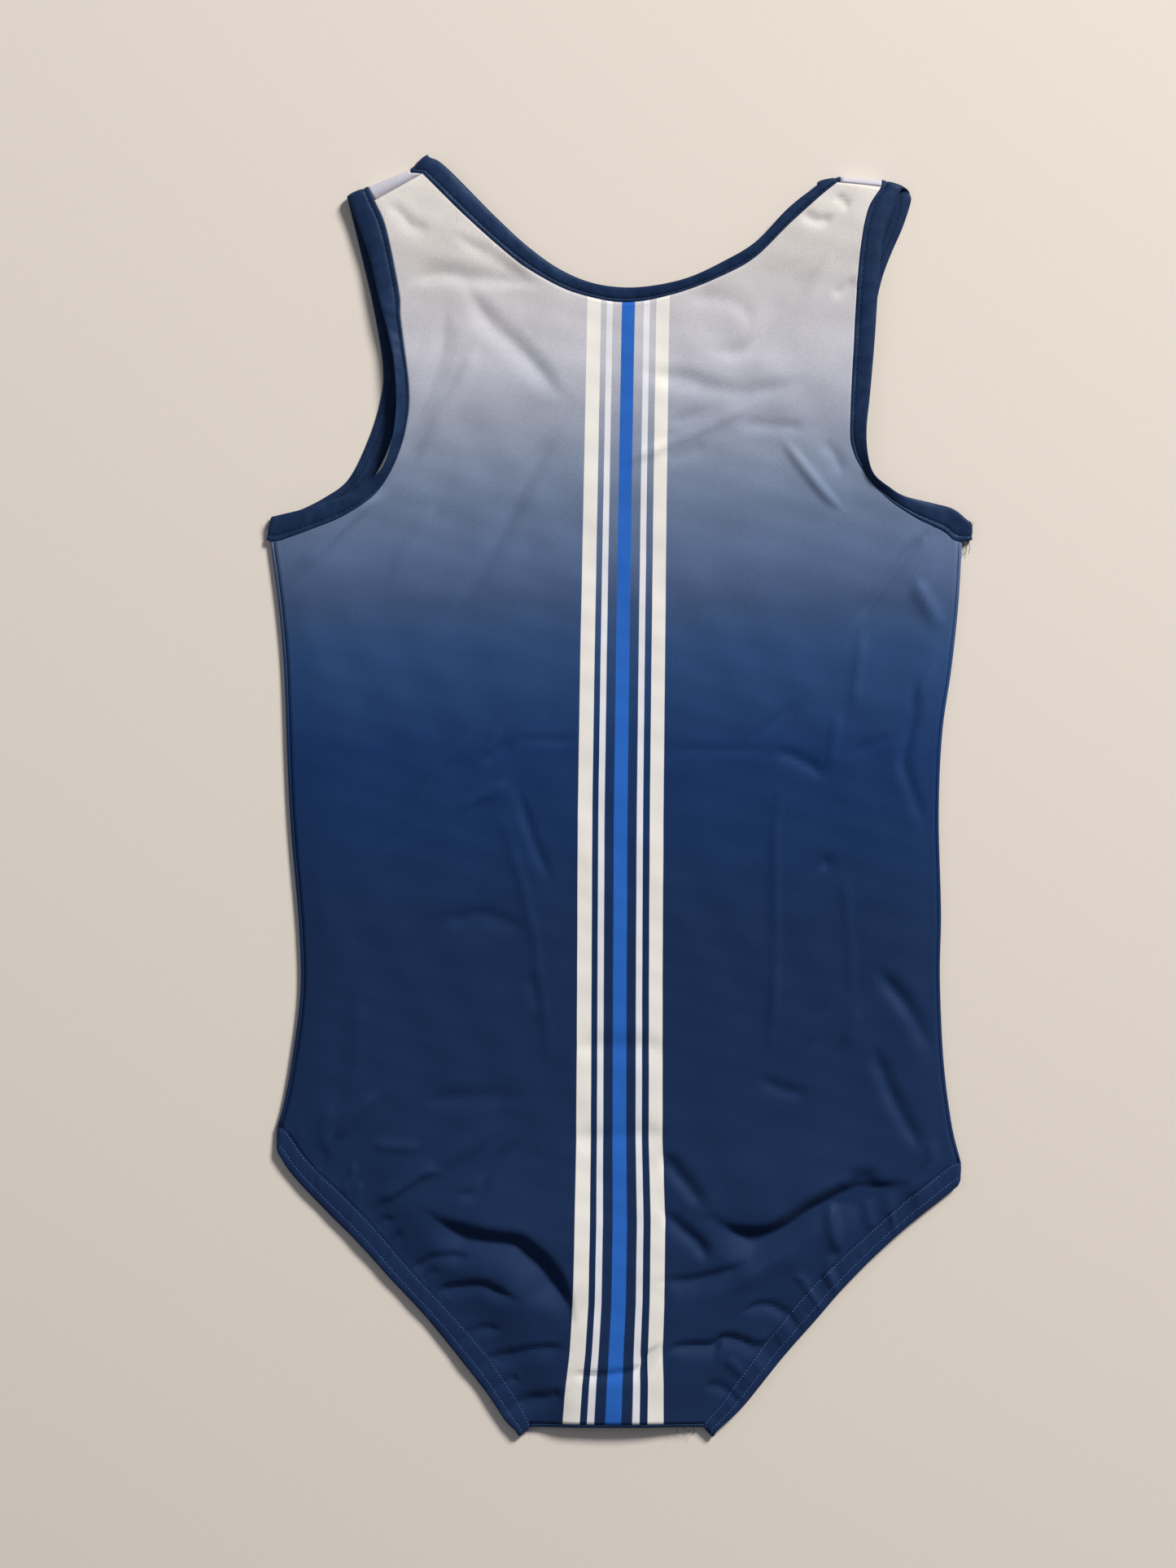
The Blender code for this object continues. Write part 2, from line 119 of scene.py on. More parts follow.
def newMaterial(name, colour, roughness, specular, sheen=0.0):
    material = bpy.data.materials.new(name)
    material.use_nodes = True
    shader = material.node_tree.nodes["Principled BSDF"]
    shader.inputs["Base Color"].default_value = paint(*colour)
    shader.inputs["Roughness"].default_value = roughness
    shader.inputs["Specular IOR Level"].default_value = specular
    shader.inputs["Specular Tint"].default_value = (*studio["glossTint"], 1.0)
    shader.inputs["Sheen Weight"].default_value = sheen
    shader.inputs["Sheen Roughness"].default_value = studio["sheenRoughness"]
    return material, material.node_tree, shader


def addNode(tree, kind, **values):
    node = tree.nodes.new(kind)
    for name, value in values.items():
        if hasattr(node, name):
            setattr(node, name, value)
        else:
            node.inputs[name.replace("_", " ")].default_value = value
    return node


def addNoise(tree, scale, detail=2.0):
    # Noise in the piece's own metres; scale is in features a metre
    place = addNode(tree, "ShaderNodeTexCoord")
    noise = addNode(tree, "ShaderNodeTexNoise", Scale=scale, Detail=detail)
    tree.links.new(place.outputs["Object"], noise.inputs["Vector"])
    return noise.outputs["Fac"]


def addWeave(tree, pitch, axis):
    # Ribs a pitch apart. A wave of scale 1 repeats every 0.314 m
    place = addNode(tree, "ShaderNodeTexCoord")
    wave = addNode(tree, "ShaderNodeTexWave", Scale=0.314 / (pitch * mm), Distortion=1.5,
                   Detail_Scale=2.0, bands_direction=axis)
    tree.links.new(place.outputs["Object"], wave.inputs["Vector"])
    return wave.outputs["Fac"]


def mixValues(tree, mode, first, second):
    node = addNode(tree, "ShaderNodeMath", operation=mode)
    for socket, value in zip(node.inputs, (first, second)):
        if isinstance(value, (int, float)):
            socket.default_value = value
        else:
            tree.links.new(value, socket)
    return node.outputs[0]


def mixColours(tree, mode, factor, first, second):
    node = addNode(tree, "ShaderNodeMix", data_type="RGBA", blend_type=mode)
    for socket, value in ((node.inputs[0], factor), (node.inputs[6], first), (node.inputs[7], second)):
        if isinstance(value, (int, float, tuple)):
            socket.default_value = value
        else:
            tree.links.new(value, socket)
    return node.outputs[2]


def addRamp(tree, value, stops):
    # stops holds pairs of place and colour, the colour with its alpha
    ramp = addNode(tree, "ShaderNodeValToRGB")
    elements = ramp.color_ramp.elements
    while len(elements) > 1:
        elements.remove(elements[-1])
    elements[0].position, elements[0].color = stops[0]
    for place, colour in stops[1:]:
        elements.new(place).color = colour
    tree.links.new(value, ramp.inputs["Fac"])
    return ramp


def addBump(tree, shader, height, strength, depth):
    bump = addNode(tree, "ShaderNodeBump", Strength=strength, Distance=depth * mm)
    tree.links.new(height, bump.inputs["Height"])
    tree.links.new(bump.outputs["Normal"], shader.inputs["Normal"])


linen = {"roughness": 0.9, "specular": 0.2, "grain": 900, "bump": 0.12, "bumpDepth": 0.3}


def tableLinen():
    material, tree, shader = newMaterial("tableLinen", studio["floorColour"], linen["roughness"],
                                         linen["specular"])
    addBump(tree, shader, addNoise(tree, linen["grain"]), linen["bump"], linen["bumpDepth"])
    return material


# The print: ground shaded from white to navy, and the stripes down the front

knit = {
    # Columns: height up the garment, red, green, blue
    "ground": ((-280, 27, 45, 80), (-60, 25, 46, 82), (20, 25, 52, 98), (62, 44, 73, 117), (83, 62, 83, 119),
               (104, 88, 107, 142), (125, 103, 119, 147), (146, 131, 144, 166), (167, 158, 163, 178),
               (188, 192, 193, 203), (230, 203, 199, 198), (280, 234, 228, 220)),
    "backGround": ((-280, 27, 45, 80), (0, 23, 48, 90), (41, 34, 62, 107), (83, 62, 83, 119),
                   (125, 101, 118, 147), (167, 150, 156, 176), (209, 180, 180, 196), (280, 200, 198, 208)),
    # Edges of the bundle. Columns: height up the garment, left, right
    "bundle": ((-275, -24.6, 19), (-266.7, -24, 19.1), (-252.7, -22.9, 19.1), (-238.7, -21.2, 18.7),
               (-217.7, -19.8, 19.4), (-182.7, -19.1, 19.8), (-147.7, -18.4, 18.7), (-77.7, -18, 18.7),
               (-7.7, -17.7, 19.1), (62.3, -16.6, 19.8), (132.3, -15.2, 20.5), (202.3, -13.8, 21.5),
               (215, -13.6, 21.9)),
    # Columns: start and end across the bundle, red, green, blue
    "stripes": ((0, 0.171, 230, 227, 222), (0.238, 0.314, 222, 223, 230), (0.419, 0.581, 42, 100, 188),
                (0.686, 0.762, 222, 223, 230), (0.838, 1, 230, 227, 222)),
    "margin": 0.1, "feather": 0.004, "tall": 560, "inside": (226, 224, 220),
    "walePitch": 0.5, "coursePitch": 0.42, "ribShare": 0.35, "fuzz": 1400, "bump": 0.22, "bumpDepth": 0.12,
    "plain": (30, 45, 80), "roughness": 0.55, "specular": 0.12, "sheen": 0.02,
    # Fine speckle and a fainter cloudiness. Columns: features a metre, darkest share
    "speckles": ((1500, 0.88), (180, 0.965)), "speckleRange": (0.32, 0.62), "speckleBlue": 0.02,
}


def addPrint(mesh):
    # A map named Print: across the bundle of stripes, and up the garment
    count = len(mesh.loops)
    corners = np.empty(count, dtype=np.int32)
    mesh.loops.foreach_get("vertex_index", corners)
    places = np.empty(len(mesh.vertices) * 3)
    mesh.vertices.foreach_get("co", places)
    places = places.reshape(-1, 3)[corners] / mm
    table = np.array(knit["bundle"])
    left = np.interp(places[:, 1], table[:, 0], table[:, 1])
    right = np.interp(places[:, 1], table[:, 0], table[:, 2])
    across = (places[:, 0] - left) / (right - left)
    printMap = np.empty((count, 2))
    printMap[:, 0] = (across + knit["margin"]) / (1 + 2 * knit["margin"])
    printMap[:, 1] = places[:, 1] / knit["tall"] + 0.5
    mesh.uv_layers.new(name="Print").data.foreach_set("uv", printMap.ravel())


def knitHeight(tree):
    wales, courses = addWeave(tree, knit["walePitch"], "X"), addWeave(tree, knit["coursePitch"], "Y")
    ribs = mixValues(tree, "MULTIPLY", mixValues(tree, "ADD", wales, courses), knit["ribShare"])
    return mixValues(tree, "ADD", ribs, addNoise(tree, knit["fuzz"]))


def newKnit(name, colour):
    material, tree, shader = newMaterial(name, colour, knit["roughness"], knit["specular"], knit["sheen"])
    addBump(tree, shader, knitHeight(tree), knit["bump"], knit["bumpDepth"])
    return material, tree, shader


def printedKnit(name, cloth, striped):
    material, tree, shader = newKnit(name, knit["plain"])
    printMap = addNode(tree, "ShaderNodeUVMap", uv_map="Print")
    split = addNode(tree, "ShaderNodeSeparateXYZ")
    tree.links.new(printMap.outputs["UV"], split.inputs[0])
    ground = addRamp(tree, split.outputs["Y"],
                     [(height / knit["tall"] + 0.5, paint(*colour)) for height, *colour in knit[cloth]])
    colour = grained(tree, ground.outputs["Color"])
    if striped:
        stops = [(0.0, (*paint(*knit["stripes"][0][2:])[:3], 0.0))]
        for start, end, *stripe in knit["stripes"]:
            seen, clear = paint(*stripe), (*paint(*stripe)[:3], 0.0)
            for place, shade in ((start, clear), (start + knit["feather"], seen),
                                 (end - knit["feather"], seen), (end, clear)):
                stops.append(((place + knit["margin"]) / (1 + 2 * knit["margin"]), shade))
        stripes = addRamp(tree, split.outputs["X"], stops)
        colour = mixColours(tree, "MIX", stripes.outputs["Alpha"], colour, stripes.outputs["Color"])
    tree.links.new(colour, shader.inputs["Base Color"])
    return material


def grained(tree, colour):
    low, high = knit["speckleRange"]
    for scale, dark in knit["speckles"]:
        speckle = addRamp(tree, addNoise(tree, scale, 3.0),
                          [(low, (dark, dark, dark + knit["speckleBlue"], 1)), (high, (1, 1, 1, 1))])
        colour = mixColours(tree, "MULTIPLY", 1.0, colour, speckle.outputs["Color"])
    return colour


def plainKnit(name, colour):
    material, tree, shader = newKnit(name, colour)
    tree.links.new(grained(tree, paint(*colour)), shader.inputs["Base Color"])
    return material


satin = {
    "colour": (26, 44, 76), "darkColour": (21, 38, 68), "lightColour": (30, 49, 82), "cloud": 180,
    "roughness": 0.48, "specular": 0.16, "sheen": 0.02, "grain": 700, "bump": 0.25, "bumpDepth": 0.25,
}


def bindingSatin():
    material, tree, shader = newMaterial("bindingSatin", satin["colour"], satin["roughness"],
                                         satin["specular"], satin["sheen"])
    shade = addRamp(tree, addNoise(tree, satin["cloud"]),
                    [(0.3, paint(*satin["darkColour"])), (0.7, paint(*satin["lightColour"]))])
    tree.links.new(shade.outputs["Color"], shader.inputs["Base Color"])
    addBump(tree, shader, addNoise(tree, satin["grain"], 3.0), satin["bump"], satin["bumpDepth"])
    return material


sewing = {
    "bindingColour": (16, 22, 40), "hemColour": (70, 98, 150), "roughness": 0.55, "specular": 0.35,
    "sheen": 0.1, "twistPitch": 0.3, "bump": 0.4, "bumpDepth": 0.06, "lookAhead": 0.3,
}


def threadMaterial(name, colour):
    material, tree, shader = newMaterial(name, colour, sewing["roughness"], sewing["specular"],
                                         sewing["sheen"])
    twist = addWeave(tree, sewing["twistPitch"], "DIAGONAL")
    addBump(tree, shader, twist, sewing["bump"], sewing["bumpDepth"])
    return material


# Outline of the garment, as the solids have it

body = {
    # Heights of the layers, and how far in from its edges the front has risen
    "underside": 0.02, "backLevel": 0.6, "lowestFront": 1.6, "freeFront": 4.2,
    "legLevel": 3.0, "legRounding": 15.0, "sideLevel": 2.4, "sideRounding": 9.0,
    "seamInset": 1.2, "sideReach": 1.0, "shoulderReach": 1.3, "crotchReach": 1.6, "hemReach": 2.6,
    "seamGap": 0.12, "seamOverlap": 0.3, "clothWall": 0.9, "turnSteps": 6,
    "sides": {
        "left": ((-146.5, -142.5), (-143.5, -132), (-140, -113), (-136.5, -85), (-137, -57),
                 (-140.5, -15), (-142, 13), (-143.5, 55), (-146, 83), (-149.5, 109.5)),
        "right": ((146.5, -157.5), (142.5, -141), (139, -113), (137.5, -78), (138, -50),
                  (137, -8), (138.5, 27), (142.5, 55), (145.5, 83), (147, 109.5)),
    },
    "shoulders": {
        "left": {"fold": ((-107.6, 260.8), (-89.1, 268.5)), "seam": ((-105, 255), (-84, 267)), "trim": 0.8},
        "right": {"fold": ((112.9, 263.7), (95, 265)), "seam": ((112.5, 261), (93.5, 263)), "trim": 0.7},
    },
}

frontCut = {
    "grid": {"leg": 88, "side": 130, "arm": 66, "strap": 26, "strapAcross": 36, "neckAcross": 76},
    "legLeft": ((-143.9, -142.5), (-133, -157.5), (-119, -171), (-105, -185.5), (-91, -202),
                (-70, -224.5), (-56, -240.5), (-49, -251), (-42, -262), (-38.2, -269.3)),
    "legRight": ((143.9, -157.5), (134, -165), (121.5, -175), (98, -196), (81.5, -212),
                 (67.5, -229), (52.5, -248.5), (44.5, -260), (36.5, -269.3)),
    "armLeft": ((-146.9, 109.5), (-131, 115), (-118.5, 120), (-106, 128.5), (-97.5, 141),
                (-92, 157), (-90.5, 174.5), (-94, 204), (-94.5, 215), (-100, 243), (-105, 255)),
    "armRight": ((144.4, 109.5), (139, 114), (126.5, 120), (114, 129), (105.5, 139),
                 (100.5, 149), (99.5, 160.5), (101, 194), (103, 227.5), (106.5, 250), (112.5, 261)),
    "neck": ((-84, 267), (-67.5, 250.5), (-46.5, 232), (-32.5, 222.5), (-18.5, 216), (2.5, 212),
             (23.5, 215.5), (44.5, 223.5), (58.5, 231.5), (72.5, 245), (86.5, 257.5), (93.5, 263)),
}

backCut = {
    "grid": {"leg": 38, "side": 56, "arm": 28, "strap": 12, "strapAcross": 16, "neckAcross": 24},
    "legLeft": ((-145.5, -142.5), (-133, -155.5), (-117, -169), (-103, -183.5), (-89, -200),
                (-68, -222.5), (-54, -238.5), (-47.5, -250), (-41.5, -262), (-39, -268.6)),
    "legRight": ((145.5, -157.5), (133, -163), (120, -173), (96, -194), (79.5, -210),
                 (65.5, -227), (50.5, -247), (43, -259), (36.9, -268.6)),
    "armLeft": ((-148.5, 109.5), (-138, 113.5), (-126, 118.5), (-115, 126.5), (-106, 136.5),
                (-100, 147.5), (-95.5, 161.5), (-92.5, 174.5), (-92, 185), (-95, 203.5),
                (-98, 220.5), (-102.5, 237.5), (-107.1, 259.6)),
    "armRight": ((146, 109.5), (132, 113), (120, 118.5), (109.5, 125.5), (101.5, 135),
                 (97, 147.5), (96.5, 160.5), (98, 177), (99, 194), (100.5, 208), (104, 220.5),
                 (108, 231.5), (113, 243), (115.5, 254), (112.8, 262.4)),
    "neck": ((-88.6, 267.3), (-70, 246), (-50, 215), (-28, 188), (2, 176), (32, 188), (54, 213),
             (74, 242), (94.9, 263.7)),
}


# Height of the front: the broad air under it, and its creases

frontRelief = {
    # Columns: x, y, spread along x, spread along y, height
    "air": ((-90, 240, 28, 34, 1.6), (98, 242, 26, 34, 1.4), (0, 150, 75, 55, 1.0),
            (0, -20, 90, 110, 0.8), (-56, -190, 34, 26, 3.6), (80, -178, 40, 26, 3.8),
            (0, -215, 60, 45, 2.2), (0, -262, 45, 26, 1.8)),
    # Columns: width on the left hand of the run, width on its right hand, height or depth, the run.
    # A run that goes right or down has the window on its left hand
    "creases": (
        # Left shoulder and chest
        (5, 6, -0.9, ((-100, 254), (-94, 250), (-88, 244), (-80, 243))),
        (8, 5, -1.7, ((-93, 219), (-84, 222), (-76, 223.5), (-70, 223), (-64, 221.5), (-55, 221.5),
                      (-45, 220.5), (-36, 218.5))),
        (5, 5, -0.8, ((-72, 241), (-58, 233), (-46, 225.5), (-35, 219))),
        (7, 9, -1.7, ((-66, 219), (-56, 204), (-46, 195), (-38, 187), (-29, 176), (-22, 170))),
        (7, 7, -0.9, ((-74, 210), (-76, 190), (-82, 172), (-89, 158))),
        (6, 5, 1.0, ((-60, 195), (-66, 181), (-72, 170), (-78, 161), (-84, 152))),
        (4, 6, -1.1, ((-82, 152), (-90, 142.5), (-97, 135), (-106, 126))),
        (7, 7, -1.3, ((-24, 160), (-36, 142), (-46, 122), (-56, 101), (-66, 86), (-72, 76))),
        (5, 5, 0.7, ((-79, 128), (-86, 115), (-94, 100), (-98, 90))),
        (4, 8, 1.5, ((-101, 130), (-112, 121), (-122, 111.5), (-131, 102.5), (-139, 94))),
        # Right shoulder and chest
        (3, 4, -1.0, ((92, 257.5), (96, 255), (99, 251))),
        (4, 4, -1.2, ((78, 250), (85, 246.5), (92, 248))),
        (4, 4, -1.0, ((91, 215), (96, 217), (102, 221.5))),
        (6, 6, -0.7, ((30, 214), (45, 213), (54, 208), (56, 200))),
        (6, 7, -1.4, ((36, 193), (45, 190.5), (54, 191), (60, 196), (68, 207), (77, 217), (87, 229))),
        (7, 8, -1.7, ((10, 182), (19, 180), (30, 178.5), (40, 175), (52, 173), (60, 173.5), (70, 175.5),
                      (78, 177))),
        (5, 4, -0.9, ((20, 160), (30, 162), (40, 166), (46, 170))),
        (3, 4, 1.3, ((0, 143), (19, 150), (30, 155), (41, 160), (53, 166.3), (62, 171.5))),
        (4, 5, -0.8, ((20, 143), (28, 146), (38, 151))),
        (3, 5, -1.1, ((48, 161), (60, 159.5), (72, 158.5), (82, 158.5))),
        (3.5, 4, 1.4, ((69.5, 153.5), (75, 146.5), (82, 137.5), (89, 129), (96, 122))),
        (5, 5, -0.9, ((86, 152), (92, 147), (96, 138))),
        # Right side
        (3.5, 4, -1.7, ((135, 115), (126, 106), (117, 95), (108.5, 83), (99.5, 71.5))),
        (3, 7, 2.4, ((127, 94), (131, 86), (135, 79), (141, 70))),
        (2.5, 4.5, 1.4, ((141, 66), (137, 58), (132, 48), (128, 38))),
        (2.5, 4, 1.0, ((104.8, 73), (103.5, 60), (102, 48), (100.5, 36))),
        (4, 4, -1.8, ((126, 53), (126.5, 37), (124, 25), (122, 14.5), (126, 2), (130, -10), (134, -19))),
        (2.2, 3, 1.0, ((94.2, 38), (92.5, 25), (90.5, 10.5))),
        (2.2, 3, -0.8, ((20, 20.3), (35, 20), (50, 19.7), (58, 20), (66, 19.5))),
        (3, 4, -1.3, ((66, 19.5), (74, 17.5), (82, 13.5), (89.5, 7.5))),
        (4, 5, -0.8, ((54, 22.5), (62, 28), (70.5, 35), (79, 40.5))),
        (3, 4, -0.7, ((101, 19), (108, 22), (117, 26))),
        (2.3, 3.5, 0.9, ((69.7, 12), (68.8, -1), (67.5, -13), (67.4, -40), (67.4, -60), (66.8, -86),
                         (64.6, -116))),
        (5, 5, -1.4, ((87, -27), (91, -30.5))),
        (2.6, 3.5, 0.6, ((96, -30), (98, -48), (99.6, -72), (99, -90))),
        (6, 6, -2.4, ((110, -73.5), (117, -82), (124, -91), (131, -103), (135, -110))),
        (6, 5, -2.0, ((108, -106), (113, -119), (118.5, -132), (124, -142), (130, -153))),
        (3, 5, -1.2, ((60, -121), (68, -124.5), (76, -127), (82, -127))),
        (2.5, 4, 0.9, ((91.5, -91.5), (86, -99), (80.5, -107))),
        (2.5, 4, 0.9, ((103, -92), (100, -100), (97.4, -108))),
        # Left side and middle
        (2.2, 3, -0.8, ((-46, 23.5), (-38, 24), (-28, 24), (-17, 23.5))),
        (3, 4, 1.1, ((-60, 29), (-69, 20), (-78.3, 11), (-85.3, 0.5), (-92.3, -9),
                     (-100.4, -17), (-108, -27))),
        (2.2, 3, 0.9, ((-51, 30), (-57.3, 17))),
        (2.5, 3, -1.1, ((-45, 23), (-51, 20.5), (-58.5, 12.5))),
        (5, 3, 1.1, ((-70, -6.5), (-62, -2), (-55, 0.5), (-46.5, 6))),
        (2.3, 3.5, 0.8, ((-54, -3), (-49, -13.6), (-45.5, -24), (-41.5, -37), (-38.5, -50), (-35.7, -62.6),
                         (-34, -80), (-31.5, -94), (-30.4, -106), (-28.5, -120))),
        (3, 4, -1.3, ((-44, 5), (-40, -8), (-36, -20), (-31.5, -31), (-27.5, -38))),
        (5, 8, -1.2, ((-77, -54), (-66, -51.5), (-58, -50.5), (-48, -54), (-38, -58))),
        (5, 5, -0.9, ((-38, -76), (-36, -84), (-34, -92))),
        (7, 7, -1.1, ((-85, -131), (-70, -129.5), (-55, -129), (-42, -130))),
        (8, 8, 0.7, ((-113, -85), (-112, -110), (-118, -134))),
        (3.2, 5, 1.9, ((-103, -127), (-108, -131.5), (-113, -137), (-117.5, -142.5), (-121, -149))),
        (2.5, 2.5, 1.0, ((-139, -130), (-138, -140), (-136.7, -151))),
        (4, 4, 1.1, ((-124, -132), (-126, -142), (-127, -152))),
        # Lower left, down to the gathers along the leg edge
        (6, 18, -6.0, ((-81, -179.5), (-77, -182.5), (-70, -186), (-63, -188.5), (-53, -190.5), (-44, -191.5),
                       (-39, -195), (-32.5, -201), (-27, -208.5), (-22.5, -217), (-20.5, -224))),
        (7, 3, 2.0, ((-105, -175), (-97, -170.5), (-91, -166.5), (-86, -163), (-80, -161), (-75, -162))),
        (8, 6, 1.0, ((-82, -160), (-70, -154), (-58, -147), (-50, -142))),
        (4, 6, -1.4, ((-71, -171), (-63, -170.5), (-59.5, -167), (-57.5, -162), (-52, -155), (-45, -149))),
        (5, 4, 1.1, ((-107, -149), (-98, -150.5), (-85, -150.5))),
        (2.2, 6, -1.6, ((-91, -205), (-87, -201.5), (-84, -200), (-79.5, -197.5), (-72, -197), (-62, -198))),
        (3, 7, -2.2, ((-80, -218), (-77, -213.5), (-75, -211.3), (-69.5, -210.3), (-63, -209.3),
                      (-57, -209.5), (-52, -212), (-43, -216))),
        (2.2, 5, -1.2, ((-68, -232), (-61, -228.7), (-56, -228), (-50, -228.5))),
        (2, 8, -1.8, ((-60, -242), (-50, -239.6), (-43, -238), (-36.5, -236.6), (-27, -236), (-21, -237))),
        (3.5, 7, -1.9, ((-47, -261), (-36.5, -258.3), (-29.4, -257.3), (-22, -255))),
        (2, 4, -1.0, ((-51, -251.5), (-46, -250), (-42, -250.5))),
        (3, 3, -1.3, ((-130, -162), (-127, -156), (-126, -151))),
        (2, 2.2, 1.5, ((-113.5, -156), (-115, -164), (-119, -173))),
        (2, 2, 1.3, ((-110.5, -165), (-112.5, -173), (-114, -179))),
        (2.5, 4, -1.1, ((-106, -187), (-101, -182), (-96, -181.5))),
        (3, 3, -1.2, ((-99, -195), (-96, -190), (-92, -187.5))),
        (2, 3, -1.1, ((-85, -209), (-81, -204.5), (-77, -203))),
        # Lower right, down to the gathers along the leg edge
        (6, 18, -6.4, ((40.5, -181), (47.9, -186), (56, -188.5), (62, -188.3), (68.5, -186), (74, -183),
                       (81, -178), (89, -173.8), (97, -170.3), (104, -169), (112, -168), (121, -167))),
        (6, 5, -2.2, ((98, -166), (104.4, -163.5), (110, -165.5))),
        (5, 4.5, 2.0, ((134, -145), (134.5, -154), (133, -161), (128.5, -167), (121, -173))),
        (8, 8, 1.3, ((45, -214), (60, -203), (75, -194), (86, -180))),
        (2.2, 5, 2.2, ((90.5, -173.5), (91.5, -180), (92.5, -187), (95.5, -197.5))),
        (2, 3, 1.5, ((92, -197), (90, -202), (88, -208))),
        (2.5, 3.5, 1.4, ((106, -171), (107, -179), (109, -187))),
        (2, 3, 1.2, ((115, -170), (117, -181))),
        (2, 3, 1.4, ((75, -205), (79.5, -208.5), (82, -214))),
        (2.2, 6, -1.7, ((52, -221), (55.5, -219.8), (60, -217.8), (65.4, -218.3), (70.5, -220.8),
                        (76, -224))),
        (2.2, 8, -2.2, ((18, -241), (23, -236), (31.5, -235), (40.7, -235), (43, -232.3), (48, -231.8),
                        (53, -233.2), (58, -235.5), (62.5, -235.2), (66, -231.5), (71, -227))),
        (1.6, 2.5, 1.1, ((44.6, -232.5), (44, -237), (42.5, -242))),
        (2, 3.5, 1.3, ((45, -241.5), (49, -243.5), (53.5, -249))),
        (2.5, 5, -1.3, ((36, -253), (43, -253), (49, -257))),
        (5.5, 6, -2.2, ((18, -152), (25.5, -162), (31.5, -169.5), (37, -177))),
        (5, 6, -2.2, ((19, -177.5), (27.5, -186), (33.5, -191), (39, -200))),
        (4, 9, -2.0, ((18, -207.5), (31, -207.5), (40, -205.5), (50, -202.5), (56, -199))),
        # Across the stripes
        (2, 6, -1.7, ((-22, -248), (-6, -247.5), (8, -245.5), (11, -240), (20, -234))),
        (8, 10, -0.9, ((-22, -108), (0, -107), (22, -108))),
        (8, 10, -1.1, ((-22, -146), (0, -146), (22, -145))),
    ),
    # Each crease dies away over this share of its length at both ends, to these shares of its size
    "taper": 0.24, "endHeight": 0.12, "endWidth": 0.5,
    # Faint waviness of loose cloth. Columns: height, radians a millimetre along x and y, start
    "ripple": ((0.16, 0.21, 0.07, 0.4), (0.12, -0.11, 0.19, 1.7), (0.1, 0.31, -0.23, 2.9),
               (0.07, 0.13, 0.43, 0.9)),
    # Each ripple sways by so much, with radians a millimetre along x and y, from so many times its start
    "sway": (1.3, 0.037, 0.051, 3),
}


def runLength(points):
    # How far along a run of points each of them lies
    return np.concatenate(([0], np.cumsum(np.linalg.norm(np.diff(points, axis=0), axis=1))))


def alongRun(wanted, run, table):
    # The columns of a table, read off at the wanted lengths along a run
    return np.column_stack([np.interp(wanted, run, column) for column in table.T])


def smoothCurve(points, steps):
    # Evenly spaced points on a smooth curve through the given ones, in any number of columns
    knots = np.array(points, dtype=float)
    knots = np.vstack((2 * knots[:1] - knots[1:2], knots, 2 * knots[-1:] - knots[-2:-1]))
    t = np.linspace(0, 1, 13)[1:, None]
    track = [knots[1:2]]
    for before, start, end, after in zip(knots, knots[1:], knots[2:], knots[3:]):
        square = 2 * before - 5 * start + 4 * end - after
        cube = 3 * start - before - 3 * end + after
        track.append(0.5 * (2 * start + (end - before) * t + square * t ** 2 + cube * t ** 3))
    track = np.vstack(track)
    run = runLength(track)
    return alongRun(np.linspace(0, run[-1], steps + 1), run, track)


def lineDistance(places, points):
    # Distance from each place to a run of points, how far it lies on the run's left hand
    # from -1 to 1, and how far along it is
    best = np.full(len(places), np.inf)
    hand = np.zeros(len(places))
    along = np.zeros(len(places))
    points = np.array(points, dtype=float)
    for index, (start, end) in enumerate(zip(points, points[1:])):
        run = end - start
        reach = places - start
        share = np.clip((reach @ run) / (run @ run), 0, 1)
        offset = reach - share[:, None] * run
        distance = np.linalg.norm(offset, axis=1)
        near = distance < best
        best[near] = distance[near]
        cross = run[0] * offset[:, 1] - run[1] * offset[:, 0]
        hand[near] = cross[near] / (np.linalg.norm(run) * np.maximum(distance[near], 0.01))
        along[near] = (index + share[near]) / (len(points) - 1)
    return best, hand, along


def roundDown(level, places, edgeName, lines):
    low = body[edgeName + "Level"]
    edge = np.minimum(*(lineDistance(places, line)[0] for line in lines))
    return low + (level - low) * (1 - np.exp(-(edge / body[edgeName + "Rounding"]) ** 2))


